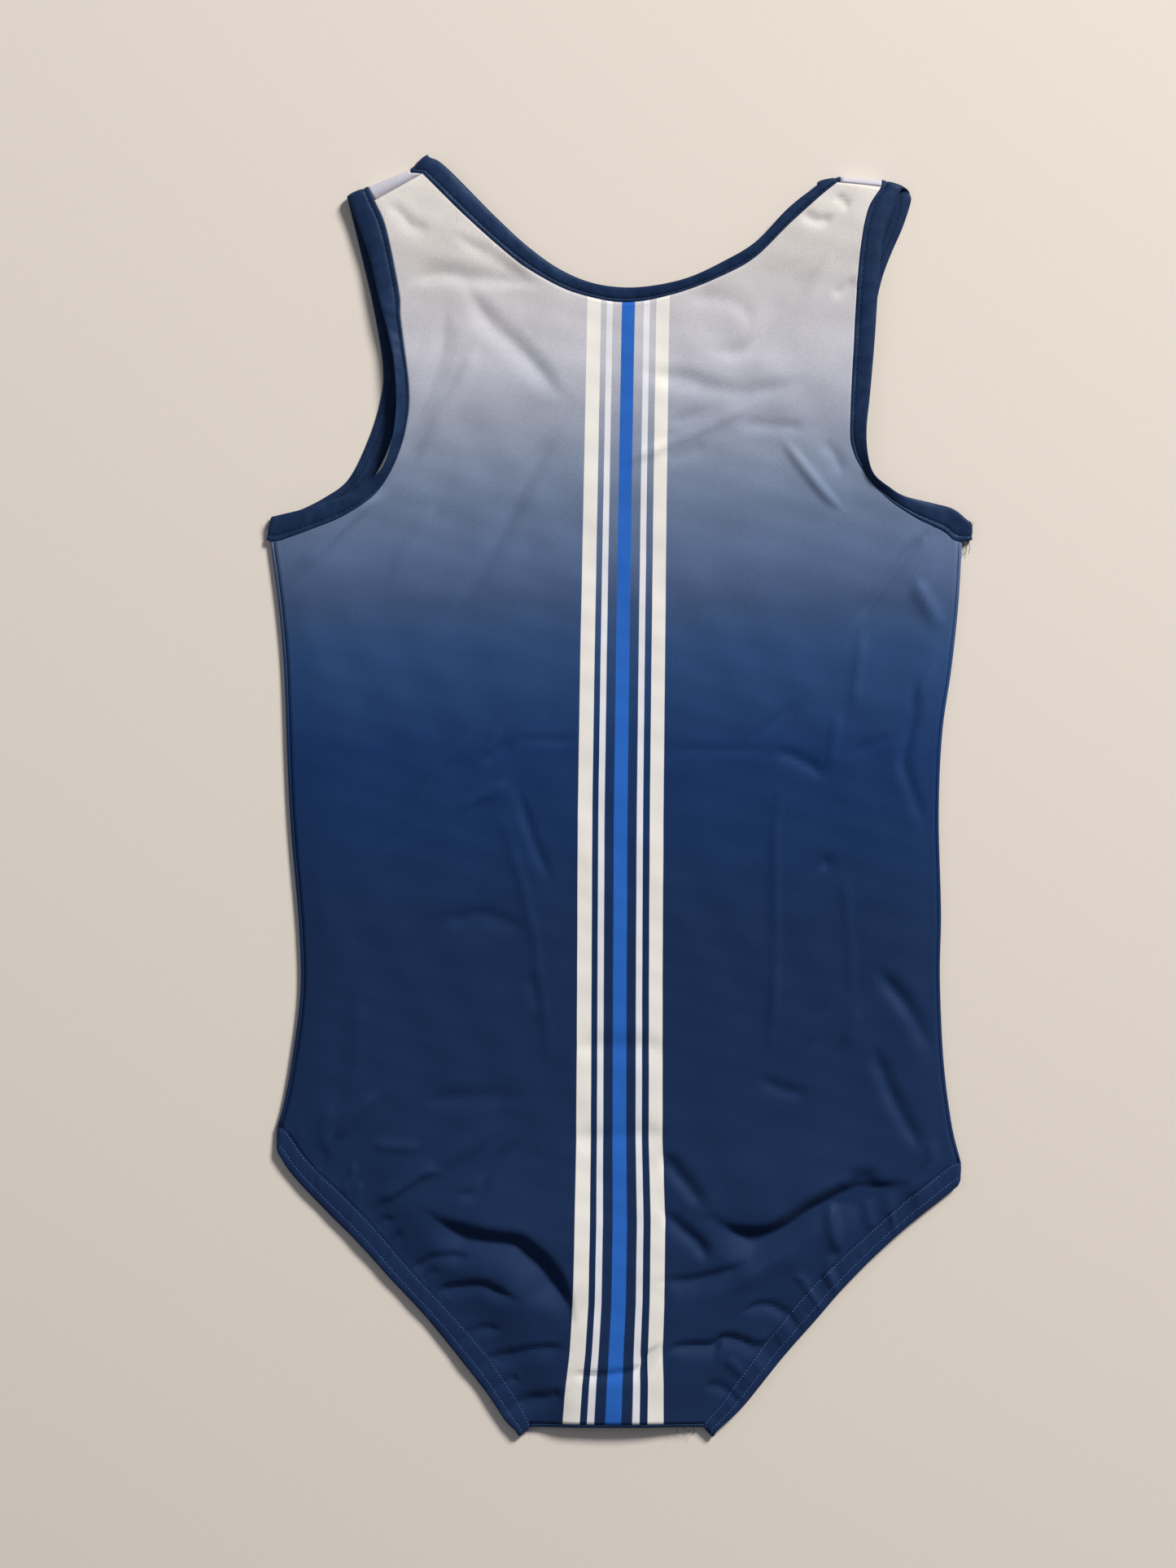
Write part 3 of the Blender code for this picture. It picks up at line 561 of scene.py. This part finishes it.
def frontLevel(places):
    places = np.asarray(places, dtype=float)[:, :2]
    level = np.full(len(places), body["freeFront"])
    for x, y, spreadX, spreadY, height in frontRelief["air"]:
        level += height * np.exp(-((places[:, 0] - x) / spreadX) ** 2 - ((places[:, 1] - y) / spreadY) ** 2)
    level = roundDown(level, places, "leg", (frontCut["legLeft"], frontCut["legRight"]))
    for leftWidth, rightWidth, height, points in frontRelief["creases"]:
        line = smoothCurve(points, 3 * len(points))
        reach = max(leftWidth, rightWidth)
        near = ((places > line.min(axis=0) - reach) & (places < line.max(axis=0) + reach)).all(axis=1)
        if near.any():
            distance, hand, along = lineDistance(places[near], line)
            fade = np.clip(np.minimum(along, 1 - along) / frontRelief["taper"], 0, 1)
            fade = fade * fade * (3 - 2 * fade)
            width = leftWidth ** ((1 + hand) / 2) * rightWidth ** ((1 - hand) / 2)
            width *= frontRelief["endWidth"] + (1 - frontRelief["endWidth"]) * fade
            share = np.clip(distance / width, 0, 1)
            level[near] += (height * (frontRelief["endHeight"] + (1 - frontRelief["endHeight"]) * fade)
                            * (1 - share) ** 2 * (1 + share))
    sway, swayX, swayY, swayStart = frontRelief["sway"]
    for height, acrossX, acrossY, start in frontRelief["ripple"]:
        bend = sway * np.sin(swayX * places[:, 0] + swayY * places[:, 1] + swayStart * start)
        level += height * np.sin(acrossX * places[:, 0] + acrossY * places[:, 1] + start + bend)
    level = roundDown(level, places, "side", body["sides"].values())
    return np.maximum(level, body["lowestFront"])


# Sheets of cloth from a grid whose corners are moved to their places

def panelOutline(cut, inset):
    grid = cut["grid"]
    outline = {}
    for side, sign in (("Left", 1), ("Right", -1)):
        leg = smoothCurve(cut["leg" + side], grid["leg"])[::-1]
        fold = smoothCurve(body["sides"][side.lower()], grid["side"]) + (sign * inset, 0)
        arm = smoothCurve(cut["arm" + side], grid["arm"] + grid["strap"])
        outline[side] = np.vstack((leg[:-1], fold, arm[1:]))
    outline["neck"] = smoothCurve(cut["neck"], 2 * grid["strap"] + grid["neckAcross"])
    return outline


def blend(first, second, count):
    share = np.linspace(0, 1, count)[:, None]
    return first + (second - first) * share


def panelPlaces(outline, grid):
    # Rows rise from the crotch. Above the low neck there are the two straps alone
    across = 2 * grid["strapAcross"] + grid["neckAcross"]
    armpit = grid["leg"] + grid["side"]
    neckRow = armpit + grid["arm"]
    left, right, neck = outline["Left"], outline["Right"], outline["neck"]
    straps = []
    for step in range(grid["strap"] + 1):
        innerLeft, innerRight = neck[grid["strap"] - step], neck[grid["strap"] + grid["neckAcross"] + step]
        straps.append((blend(left[neckRow + step], innerLeft, grid["strapAcross"] + 1),
                       blend(innerRight, right[neckRow + step], grid["strapAcross"] + 1)))
    lowNeck = neck[grid["strap"] + 1:grid["strap"] + grid["neckAcross"]]
    bent = np.vstack((straps[0][0], lowNeck, straps[0][1])) - blend(left[neckRow], right[neckRow], across + 1)
    places = {}
    for row in range(neckRow + 1):
        rise = max(0.0, (row - armpit) / grid["arm"])
        line = blend(left[row], right[row], across + 1) + bent * rise * rise * (3 - 2 * rise)
        for column, place in enumerate(line):
            places[row, column] = place
    for step, (leftStrap, rightStrap) in enumerate(straps[1:], 1):
        for column in range(grid["strapAcross"] + 1):
            places[neckRow + step, column] = leftStrap[column]
            places[neckRow + step, across - grid["strapAcross"] + column] = rightStrap[column]
    return places


def fillSheet(places):
    rows = [row for row, column in places]
    columns = [column for row, column in places]
    firstRow, firstColumn = min(rows), min(columns)
    rowCount, columnCount = max(rows) - firstRow, max(columns) - firstColumn
    sheet = bmesh.new()
    bmesh.ops.create_grid(sheet, x_segments=columnCount, y_segments=rowCount, size=1.0)
    spare = []
    for corner in sheet.verts:
        place = (firstRow + round((corner.co.y + 1) / 2 * rowCount),
                 firstColumn + round((corner.co.x + 1) / 2 * columnCount))
        if place in places:
            corner.co = Vector(places[place]) * mm
        else:
            spare.append(corner)
    bmesh.ops.delete(sheet, geom=spare, context="VERTS")
    bmesh.ops.recalc_face_normals(sheet, faces=sheet.faces)
    return sheet


def makeCloth(name, places, outside, inside, facing):
    # facing is 1 where the printed face looks up and -1 where it looks down
    sheet = fillSheet(places)
    sheet.normal_update()
    if sum(face.normal.z for face in sheet.faces) * facing < 0:
        bmesh.ops.reverse_faces(sheet, faces=sheet.faces)
    piece = finishMesh(name, sheet, outside, inside)
    addPrint(piece.data)
    wall = piece.modifiers.new("clothWall", "SOLIDIFY")
    wall.thickness = body["clothWall"] * mm
    wall.offset = 0.0
    wall.material_offset = 1
    return piece


def turnPoints(low, high, outward, reach, steps):
    # A fold between two layers that swells outward, its two ends left out
    points = []
    for step in range(1, steps):
        angle = math.pi * step / steps
        point = low + (high - low) * (1 - math.cos(angle)) / 2
        points.append(point + np.array((*outward, 0)) * reach * math.sin(angle))
    return points


def shoulderFrame(side):
    armEnd, neckEnd = (np.array(point) for point in body["shoulders"][side]["fold"])
    along = (neckEnd - armEnd) / np.linalg.norm(neckEnd - armEnd)
    outward = np.array((-along[1], along[0]))
    if outward[1] < 0:
        outward = -outward
    return along, outward, armEnd - outward * body["shoulderReach"], neckEnd - outward * body["shoulderReach"]


def makeFront(outline):
    places = panelPlaces(outline, frontCut["grid"])
    keys = list(places)
    levels = frontLevel([places[key] for key in keys])
    places = {key: (*places[key], level) for key, level in zip(keys, levels)}
    return makeCloth("frontCloth", places, printedKnit("printedFront", "ground", True),
                     plainKnit("unprintedInside", knit["inside"]), 1)


def makeBack(outline):
    grid = backCut["grid"]
    across = 2 * grid["strapAcross"] + grid["neckAcross"]
    hip, armpit = grid["leg"], grid["leg"] + grid["side"]
    top = armpit + grid["arm"] + grid["strap"]
    plan = panelPlaces(outline, grid)
    places = {key: np.array((*place, body["backLevel"])) for key, place in plan.items()}
    frontEdge = panelOutline({**frontCut, "grid": grid}, body["seamInset"])

    def addTurn(start, step, seam, outward, reach, strip):
        # strip is 1 where the back runs on over the front to a seam away from its fold, and 0 elsewhere
        low = places[start]
        levels = frontLevel([low[:2], seam])
        high, end = np.array((*low[:2], levels[0])), np.array((*seam, levels[1]))
        row, column = start
        points = turnPoints(low, high if strip else end, outward, reach, body["turnSteps"])
        for point in points + [high] * strip + [end]:
            row, column = row + step[0], column + step[1]
            places[row, column] = point

    for side, column, sign in (("Left", 0, -1), ("Right", across, 1)):
        for row in range(hip, armpit + 1):
            seam = frontEdge[side][row] + (sign * body["seamGap"], 0)
            addTurn((row, column), (0, sign), seam, (sign, 0), body["sideReach"], 0)
    for column, seam in enumerate(blend(frontEdge["Left"][0], frontEdge["Right"][0], across + 1)):
        addTurn((0, column), (-1, 0), seam - (0, body["seamGap"]), (0, -1), body["crotchReach"], 0)
    for side, first in (("left", 0), ("right", across - grid["strapAcross"])):
        along, outward, armEnd, neckEnd = shoulderFrame(side)
        trim = along * body["shoulders"][side]["trim"]
        seamArm, seamNeck = (np.array(point) for point in body["shoulders"][side]["seam"])
        for index in range(grid["strapAcross"] + 1):
            share = index / grid["strapAcross"]
            share = share if side == "left" else 1 - share
            places[top, first + index] = np.array((*(armEnd + (neckEnd - trim - armEnd) * share),
                                                   body["backLevel"]))
            seam = seamArm + (seamNeck - trim - seamArm) * share + outward * body["seamGap"]
            addTurn((top, first + index), (1, 0), seam, outward, body["shoulderReach"], 1)
    return makeCloth("backCloth", places, printedKnit("printedBack", "backGround", False),
                     bpy.data.materials["unprintedInside"], -1)


# Bands: the satin binding round neck and armholes, and the leg hems

bandEdges = {
    # Outer edges. Columns: x, y, and on the front the lift off its own height
    "neckFront": ((-81.5, 274, 0), (-74.5, 270, 0), (-53.5, 249, 0), (-39.5, 236, 0), (-25.5, 226, 0),
                  (-11.5, 220, 0.5), (2.5, 218, 1), (16.5, 219, 1.5), (30.5, 222.5, 1.5), (44.5, 229, 1.5),
                  (58.5, 237.5, 1.5), (72.5, 252, 1), (85, 262, 0)),
    "neckBack": ((-81.5, 274), (-64, 252), (-44.5, 221), (-25, 195.5), (2, 184),
                 (29, 195.5), (49, 219), (68, 247), (85, 262)),
    "armLeftFront": ((-148, 120, 0), (-135.5, 123, 0), (-126, 126, 0), (-114.5, 130, 1), (-106, 136, 2.5),
                     (-100.5, 142, 3.5), (-97, 153.5, 4), (-95.5, 168, 3.5), (-97, 188.5, 2.5),
                     (-103.5, 216, 1), (-107, 231, 0), (-111.5, 244, 0), (-116, 256, 0)),
    "armLeftBack": ((-148, 120), (-139.5, 122), (-127, 128), (-116, 136.5), (-107.5, 153.5),
                    (-102.5, 170), (-101.5, 185), (-105.5, 209.5), (-110.5, 231.5),
                    (-116.5, 256)),
    "armRightFront": ((150, 118, 0), (143.5, 123, 0), (135, 125.5, 0), (122.5, 128.5, 1.5),
                      (115.5, 132.5, 2.5), (109, 138, 3), (106.5, 146.5, 3), (106, 157.5, 2.5),
                      (107.5, 171.5, 1.5), (109.5, 194, 0.5), (111, 216, 0), (113, 238, 0),
                      (116.5, 249, 0), (121, 260, 0)),
    "armRightBack": ((150, 117), (134, 121.5), (122, 126.5), (113.5, 132), (107, 139.5),
                     (105.5, 148.5), (105, 160), (106.5, 176.5), (108, 194), (110, 208),
                     (113, 222), (117, 233), (122, 244.5), (125.5, 255.5), (125, 259)),
    "legLeftFront": ((-146, -154, 0), (-140, -163, -0.4), (-126, -178, -0.6), (-112, -192, -0.6),
                     (-98, -207.5, -0.6), (-84, -222.5, -0.6), (-70, -239.5, -0.6), (-56, -257.5, -0.6),
                     (-49, -268, -0.4), (-44.5, -272.5, 0)),
    "legLeftBack": ((-146, -153), (-138, -161.5), (-124, -175.5), (-110, -189.5),
                    (-96, -205), (-82, -220), (-68, -237), (-55, -255), (-48.5, -266),
                    (-44.5, -272.5)),
    "legRightFront": ((145.5, -167.5, 0), (140, -172, -0.4), (126, -183, -0.6), (112, -195.5, -0.6),
                      (98, -209.5, -0.6), (84, -225.5, -0.6), (70, -241.5, -0.6), (56, -259, -0.6),
                      (49, -266.5, -0.4), (42, -272.8, 0)),
    "legRightBack": ((145.5, -166.5), (138.5, -170), (124, -180.5), (110, -193), (96, -207),
                     (82, -223), (68, -239), (54.5, -256.5), (48, -265), (42, -272.8)),
}

binding = {
    # Shape across the folded binding. Columns: share from the panel to the edge, height
    "section": ((0.05, -0.46), (0.05, 0.46), (-0.025, 0.47), (-0.04, 0.6), (-0.02, 0.74), (0.04, 0.82),
                (0.1, 0.78), (0.145, 0.62), (0.17, 0.44), (0.2, 0.44), (0.23, 0.64), (0.3, 0.8), (0.45, 0.9),
                (0.65, 0.88), (0.8, 0.74), (0.92, 0.48), (0.98, 0.2), (1, 0), (0.97, -0.24), (0.9, -0.48),
                (0.7, -0.58), (0.3, -0.58), (0.0, -0.58), (-0.03, -0.52)),
    "steps": 150, "turnSteps": 8, "pucker": 0.1, "puckerPitch": 7.0,
    "armpitTail": {"left": 0.2, "right": 3.0}, "tailRise": 0.6,
    "stitchShare": 0.185, "stitchPitch": 2.5, "stitchSize": (0.85, 0.22, 0.16), "stitchHeight": 0.5,
}

hem = {
    "section": ((0.03, -0.46), (0.03, 0.46), (-0.03, 0.46), (-0.04, 0.54), (-0.02, 0.64), (0.03, 0.62),
                (0.06, 0.56), (0.09, 0.6), (0.16, 0.66), (0.35, 0.69), (0.54, 0.67), (0.61, 0.62),
                (0.64, 0.55), (0.67, 0.62), (0.74, 0.66), (0.84, 0.6), (0.92, 0.44), (0.98, 0.2), (1, 0),
                (0.97, -0.24), (0.9, -0.48), (0.6, -0.58), (0.2, -0.58), (0.0, -0.55)),
    "steps": 150, "turnSteps": 8, "pucker": 0.12, "puckerPitch": 5.2, "crotchGap": 0.5,
    # Which way the turns at the crotch and the side bulge, at their inner and outer edge
    "crotchTurn": ((0, -1), (-0.55, -0.95)), "sideTurn": ((1, 0), (0.6, 1.0)), "colour": (27, 45, 80),
    "rows": (0.06, 0.645), "stitchPitch": 1.5, "stitchSize": (0.7, 0.17, 0.14), "stitchHeight": 0.58,
    "zigzag": 0.5,
}

overlock = {
    "shares": (0.3, 0.62), "height": 0.62, "stitchPitch": 1.1, "stitchSize": (0.8, 0.16, 0.12), "zigzag": 0.9,
}

# Thread tails of the raw ends. Columns: x, y, lift off the front
tails = {
    "armpitLeft": (((-147, 118, 0.4), (-149.5, 117.2, 0.2), (-151, 118.6, -0.6)),
                   ((-147.5, 114.5, 0), (-150.2, 113.2, -0.4), (-151.2, 110.8, -1)),
                   ((-147, 112, -0.2), (-149, 110.5, -0.6), (-149.6, 108, -1)),
                   ((-148, 116, 0.4), (-150.6, 115.8, 0), (-151.4, 114.6, -0.6))),
    "armpitRight": (((148, 113, 0.2), (149.8, 110, -0.2), (149.2, 106, -0.8)),
                    ((148.5, 111, 0), (150.6, 107.5, -0.6), (150.2, 104, -1)),
                    ((149, 116, 0.4), (151.4, 115.6, 0), (152, 117.4, -0.4)),
                    ((148, 109, 0), (149.2, 105.4, -0.6), (147.6, 103.2, -1))),
    "crotch": (((24, -269.5, 0.4), (25.2, -271.6, 0), (24.4, -273.4, -0.8)),
               ((27, -269.5, 0.4), (28.6, -272, 0), (30.6, -272.6, -0.6)),
               ((31, -270, 0.4), (32.4, -272.6, -0.4), (31.4, -274.4, -1)),
               ((-33, -269, 0.5), (-29, -268.4, 0.7), (-25, -268.8, 0.6))),
    "steps": 12, "lowest": 0.3, "stitchPitch": 0.45, "stitchSize": (0.4, 0.14, 0.12),
}

bandShape = {
    # Columns: pitch as a share of the style's own, sway, the sway's pitch, share of the height
    "puckers": ((1, 1.5, 17, 0.6), (1.7, 2, 23, 0.4)),
    "quietEdge": 0.04, "smoothRounds": 3, "weld": 0.005,
}


def movedOut(points, outward):
    # The points moved out by the seam gap, to the right of the run where outward is 1
    run = np.gradient(points, axis=0)
    run /= np.linalg.norm(run, axis=1)[:, None]
    return points + np.column_stack((run[:, 1], -run[:, 0])) * body["seamGap"] * outward


def bandLayer(inner, outerName):
    outer = smoothCurve(bandEdges[outerName], len(inner) - 1)
    if outerName.endswith("Front"):
        near, far = frontLevel(inner), frontLevel(outer) + outer[:, 2]
    else:
        near, far = np.full(len(inner), body["backLevel"]), np.full(len(outer), body["backLevel"])
    return np.column_stack((inner, near)), np.column_stack((outer[:, :2], far))


def bandRing(front, back, ends, steps):
    # Inner and outer edge of a closed ring: front, a turn, the back reversed and a second turn.
    # ends holds, for each turn, its direction at the inner and at the outer edge, and its reach
    ring = []
    for edge in (0, 1):
        first = turnPoints(front[edge][-1], back[edge][-1], ends[0][edge], ends[0][2], steps)
        last = turnPoints(back[edge][0], front[edge][0], ends[1][edge], ends[1][2], steps)
        ring.append(np.vstack((front[edge], first, back[edge][::-1], last)))
    return ring


def ringNormals(near, far):
    middle = (near + far) / 2
    along = np.roll(middle, -1, axis=0) - np.roll(middle, 1, axis=0)
    normal = np.cross(along, far - near)
    normal /= np.linalg.norm(normal, axis=1)[:, None]
    # A fifth of the way round lies on the front, which looks up
    if normal[len(normal) // 5, 2] < 0:
        normal = -normal
    for _ in range(bandShape["smoothRounds"]):
        normal = normal + np.roll(normal, 1, axis=0) + np.roll(normal, -1, axis=0)
        normal /= np.linalg.norm(normal, axis=1)[:, None]
    return normal


def onBand(near, far, normal, share, height):
    # Places on a band, by share across it and height off its middle
    places = near + (far - near) * share
    places[:, 2] = near[:, 2] + (far[:, 2] - near[:, 2]) * share ** 2
    return places + normal * np.reshape(height, (-1, 1))


def makeBand(name, near, far, style, material):
    normal = ringNormals(near, far)
    run = runLength((near + far) / 2)
    puckers = np.zeros(len(run))
    for stretch, sway, swayPitch, size in bandShape["puckers"]:
        turn = 2 * math.pi * run / (style["puckerPitch"] * stretch)
        puckers += size * np.sin(turn + sway * np.sin(run / swayPitch))
    quiet = bandShape["quietEdge"]
    columns = []
    for share, height in style["section"] + style["section"][:1]:
        middle = min(max(share, quiet), 1 - quiet)
        swell = style["pucker"] * puckers * math.sin(math.pi * middle) * (height > 0)
        line = onBand(near, far, normal, share, height + swell)
        line[:, 2] = np.maximum(line[:, 2], body["underside"])
        columns.append(line)
    places = {}
    for column, line in enumerate(columns):
        for row, place in enumerate(np.vstack((line, line[:1]))):
            places[row, column] = place
    sheet = fillSheet(places)
    bmesh.ops.remove_doubles(sheet, verts=sheet.verts, dist=bandShape["weld"] * mm)
    bmesh.ops.recalc_face_normals(sheet, faces=sheet.faces)
    return finishMesh(name, sheet, material), normal


def makeStitches(name, rows, style, material, zigzag=0.0):
    # Rows of small rounded stitches; each row is a run of places with its normals
    shape = bmesh.new()
    for places, normals in rows:
        run = runLength(places)
        count = int(run[-1] / style["stitchPitch"])
        wanted = (np.arange(count) + 0.5) * run[-1] / count
        centres = alongRun(wanted, run, places)
        # No stitch dips into the table
        centres[:, 2] = np.maximum(centres[:, 2], style["stitchSize"][0])
        ahead = alongRun(wanted + sewing["lookAhead"], run, places)
        ups = alongRun(wanted, run, normals)
        for index, (centre, front, up) in enumerate(zip(centres, ahead, ups)):
            up = Vector(up).normalized()
            along = Vector(front - centre).normalized()
            sideways = up.cross(along).normalized()
            swing = zigzag * (1 if index % 2 else -1)
            along = (along + sideways * swing).normalized()
            sideways = up.cross(along).normalized()
            turn = Matrix((along, sideways, up)).transposed().to_4x4()
            size = Matrix.Diagonal((*(Vector(style["stitchSize"]) * mm), 1.0))
            bmesh.ops.create_icosphere(shape, subdivisions=1, radius=1.0,
                                       matrix=Matrix.Translation(Vector(centre) * mm) @ turn @ size)
    return finishMesh(name, shape, material)


def finishBinding(name, ring, material, thread):
    near, far = ring
    band, normal = makeBand(name, near, far, binding, material)
    row = onBand(near, far, normal, binding["stitchShare"], binding["stitchHeight"])
    stitches = makeStitches(name + "Stitches", [(row, normal)], binding, thread)
    # The overlocked edge inside the back of the ring, which shows where the back lies wider than the front
    inside = slice(binding["steps"] + binding["turnSteps"], 2 * binding["steps"] + binding["turnSteps"])
    near, far, normal = near[inside], far[inside], normal[inside]
    rows = [(onBand(near, far, normal, share, -overlock["height"]), -normal) for share in overlock["shares"]]
    edging = makeStitches(name + "Overlock", rows, overlock, thread, overlock["zigzag"])
    return band, (stitches, edging)


def makeNeckBinding(frontOutline, backOutline, material, thread):
    leftAlong, leftOut, _, leftNeck = shoulderFrame("left")
    rightAlong, rightOut, _, rightNeck = shoulderFrame("right")
    ends = (leftNeck + leftAlong * body["seamGap"], rightNeck + rightAlong * body["seamGap"])
    front = np.vstack((ends[0], movedOut(frontOutline["neck"], -1), ends[1]))
    back = np.vstack((ends[0], movedOut(backOutline["neck"], -1)[1:-1], ends[1]))
    ring = bandRing(bandLayer(front, "neckFront"), bandLayer(back, "neckBack"),
                    ((rightOut, rightOut, body["shoulderReach"]), (leftOut, leftOut, body["shoulderReach"])),
                    binding["turnSteps"])
    return finishBinding("neckBindingBand", ring, material, thread)


def makeArmholeBinding(side, frontOutline, backOutline, material, thread):
    along, outward, armEnd, _ = shoulderFrame(side.lower())
    sign = -1 if side == "Left" else 1
    layers = []
    for outline, cut, last in ((frontOutline, frontCut, 0), (backOutline, backCut, 1)):
        edge = outline[side][cut["grid"]["leg"] + cut["grid"]["side"]:]
        inner = movedOut(edge, sign)
        inner[0] = edge[0] + (0, body["seamOverlap"])
        tail = np.array(body["sides"][side.lower()][-1])
        tail += (sign * binding["armpitTail"][side.lower()], binding["tailRise"])
        inner = np.vstack((tail, inner[:len(inner) - last], armEnd - along * body["seamGap"]))
        layers.append(smoothCurve(inner, binding["steps"]))
    ring = bandRing(bandLayer(layers[0], "arm" + side + "Front"), bandLayer(layers[1], "arm" + side + "Back"),
                    ((outward, outward, body["shoulderReach"]), ((sign, 0), (sign, 0), body["sideReach"])),
                    binding["turnSteps"])
    return finishBinding("armhole" + side + "Band", ring, material, thread)


def makeLegHem(side, frontOutline, backOutline, material, thread):
    sign = -1 if side == "Left" else 1
    layers = []
    for outline, cut in ((frontOutline, frontCut), (backOutline, backCut)):
        edge = outline[side][:cut["grid"]["leg"] + 1][::-1]
        inner = movedOut(edge, -sign)
        inner[0] = edge[0] - (0, body["seamOverlap"])
        inner[-1] = edge[-1] + (sign * hem["crotchGap"], 0)
        layers.append(smoothCurve(inner, hem["steps"]))
    name = "leg" + side
    ends = [[(x * sign, y) for x, y in turn] + [reach]
            for turn, reach in ((hem["crotchTurn"], body["hemReach"]), (hem["sideTurn"], body["sideReach"]))]
    near, far = bandRing(bandLayer(layers[0], name + "Front"), bandLayer(layers[1], name + "Back"), ends,
                         hem["turnSteps"])
    band, normal = makeBand(name + "Hem", near, far, hem, material)
    rows = [(onBand(near, far, normal, share, hem["stitchHeight"]), normal) for share in hem["rows"]]
    stitches = makeStitches(name + "HemStitches", rows, hem, thread, hem["zigzag"])
    return band, (stitches,)


# Everything in its order

placeCamera()
setStudio()
print("camera, lights and table are set")

frontOutline = panelOutline(frontCut, body["seamInset"])
backOutline = panelOutline(backCut, body["sideReach"])
front = makeFront(frontOutline)
back = makeBack(backOutline)
print("front and back are cut")

satinCloth = bindingSatin()
bindingThread = threadMaterial("bindingThread", sewing["bindingColour"])
hemThread = threadMaterial("hemThread", sewing["hemColour"])
hemCloth = plainKnit("hemKnit", hem["colour"])
neck, neckStitches = makeNeckBinding(frontOutline, backOutline, satinCloth, bindingThread)
bands = [("neck_binding", neck, neckStitches, "satin_binding")]
for side in ("Left", "Right"):
    band, stitches = makeArmholeBinding(side, frontOutline, backOutline, satinCloth, bindingThread)
    bands.append(("armhole_binding_" + side.lower(), band, stitches, "satin_binding"))
for side in ("Left", "Right"):
    band, stitches = makeLegHem(side, frontOutline, backOutline, hemCloth, hemThread)
    bands.append(("leg_hem_" + side.lower(), band, stitches, "leg_hem_knit"))
print("bindings, hems and their stitches are sewn")

tailRows = []
for place in ("armpitLeft", "armpitRight", "crotch"):
    for points in tails[place]:
        run = smoothCurve(points, tails["steps"])
        run[:, 2] = np.maximum(run[:, 2] + frontLevel(run), tails["lowest"])
        tailRows.append((run, np.tile((0.0, 0.0, 1.0), (len(run), 1))))
looseThreads = makeStitches("looseThreads", tailRows, tails, bindingThread)
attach(looseThreads, "root")

def declareCloth(piece, node, extras):
    for item in (piece, *extras):
        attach(item, "root")
    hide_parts(node)


declareCloth(front, "front_panel", ())
declareCloth(back, "back_panel", ())
for node, band, stitches, slotName in bands:
    declareCloth(band, node, stitches)
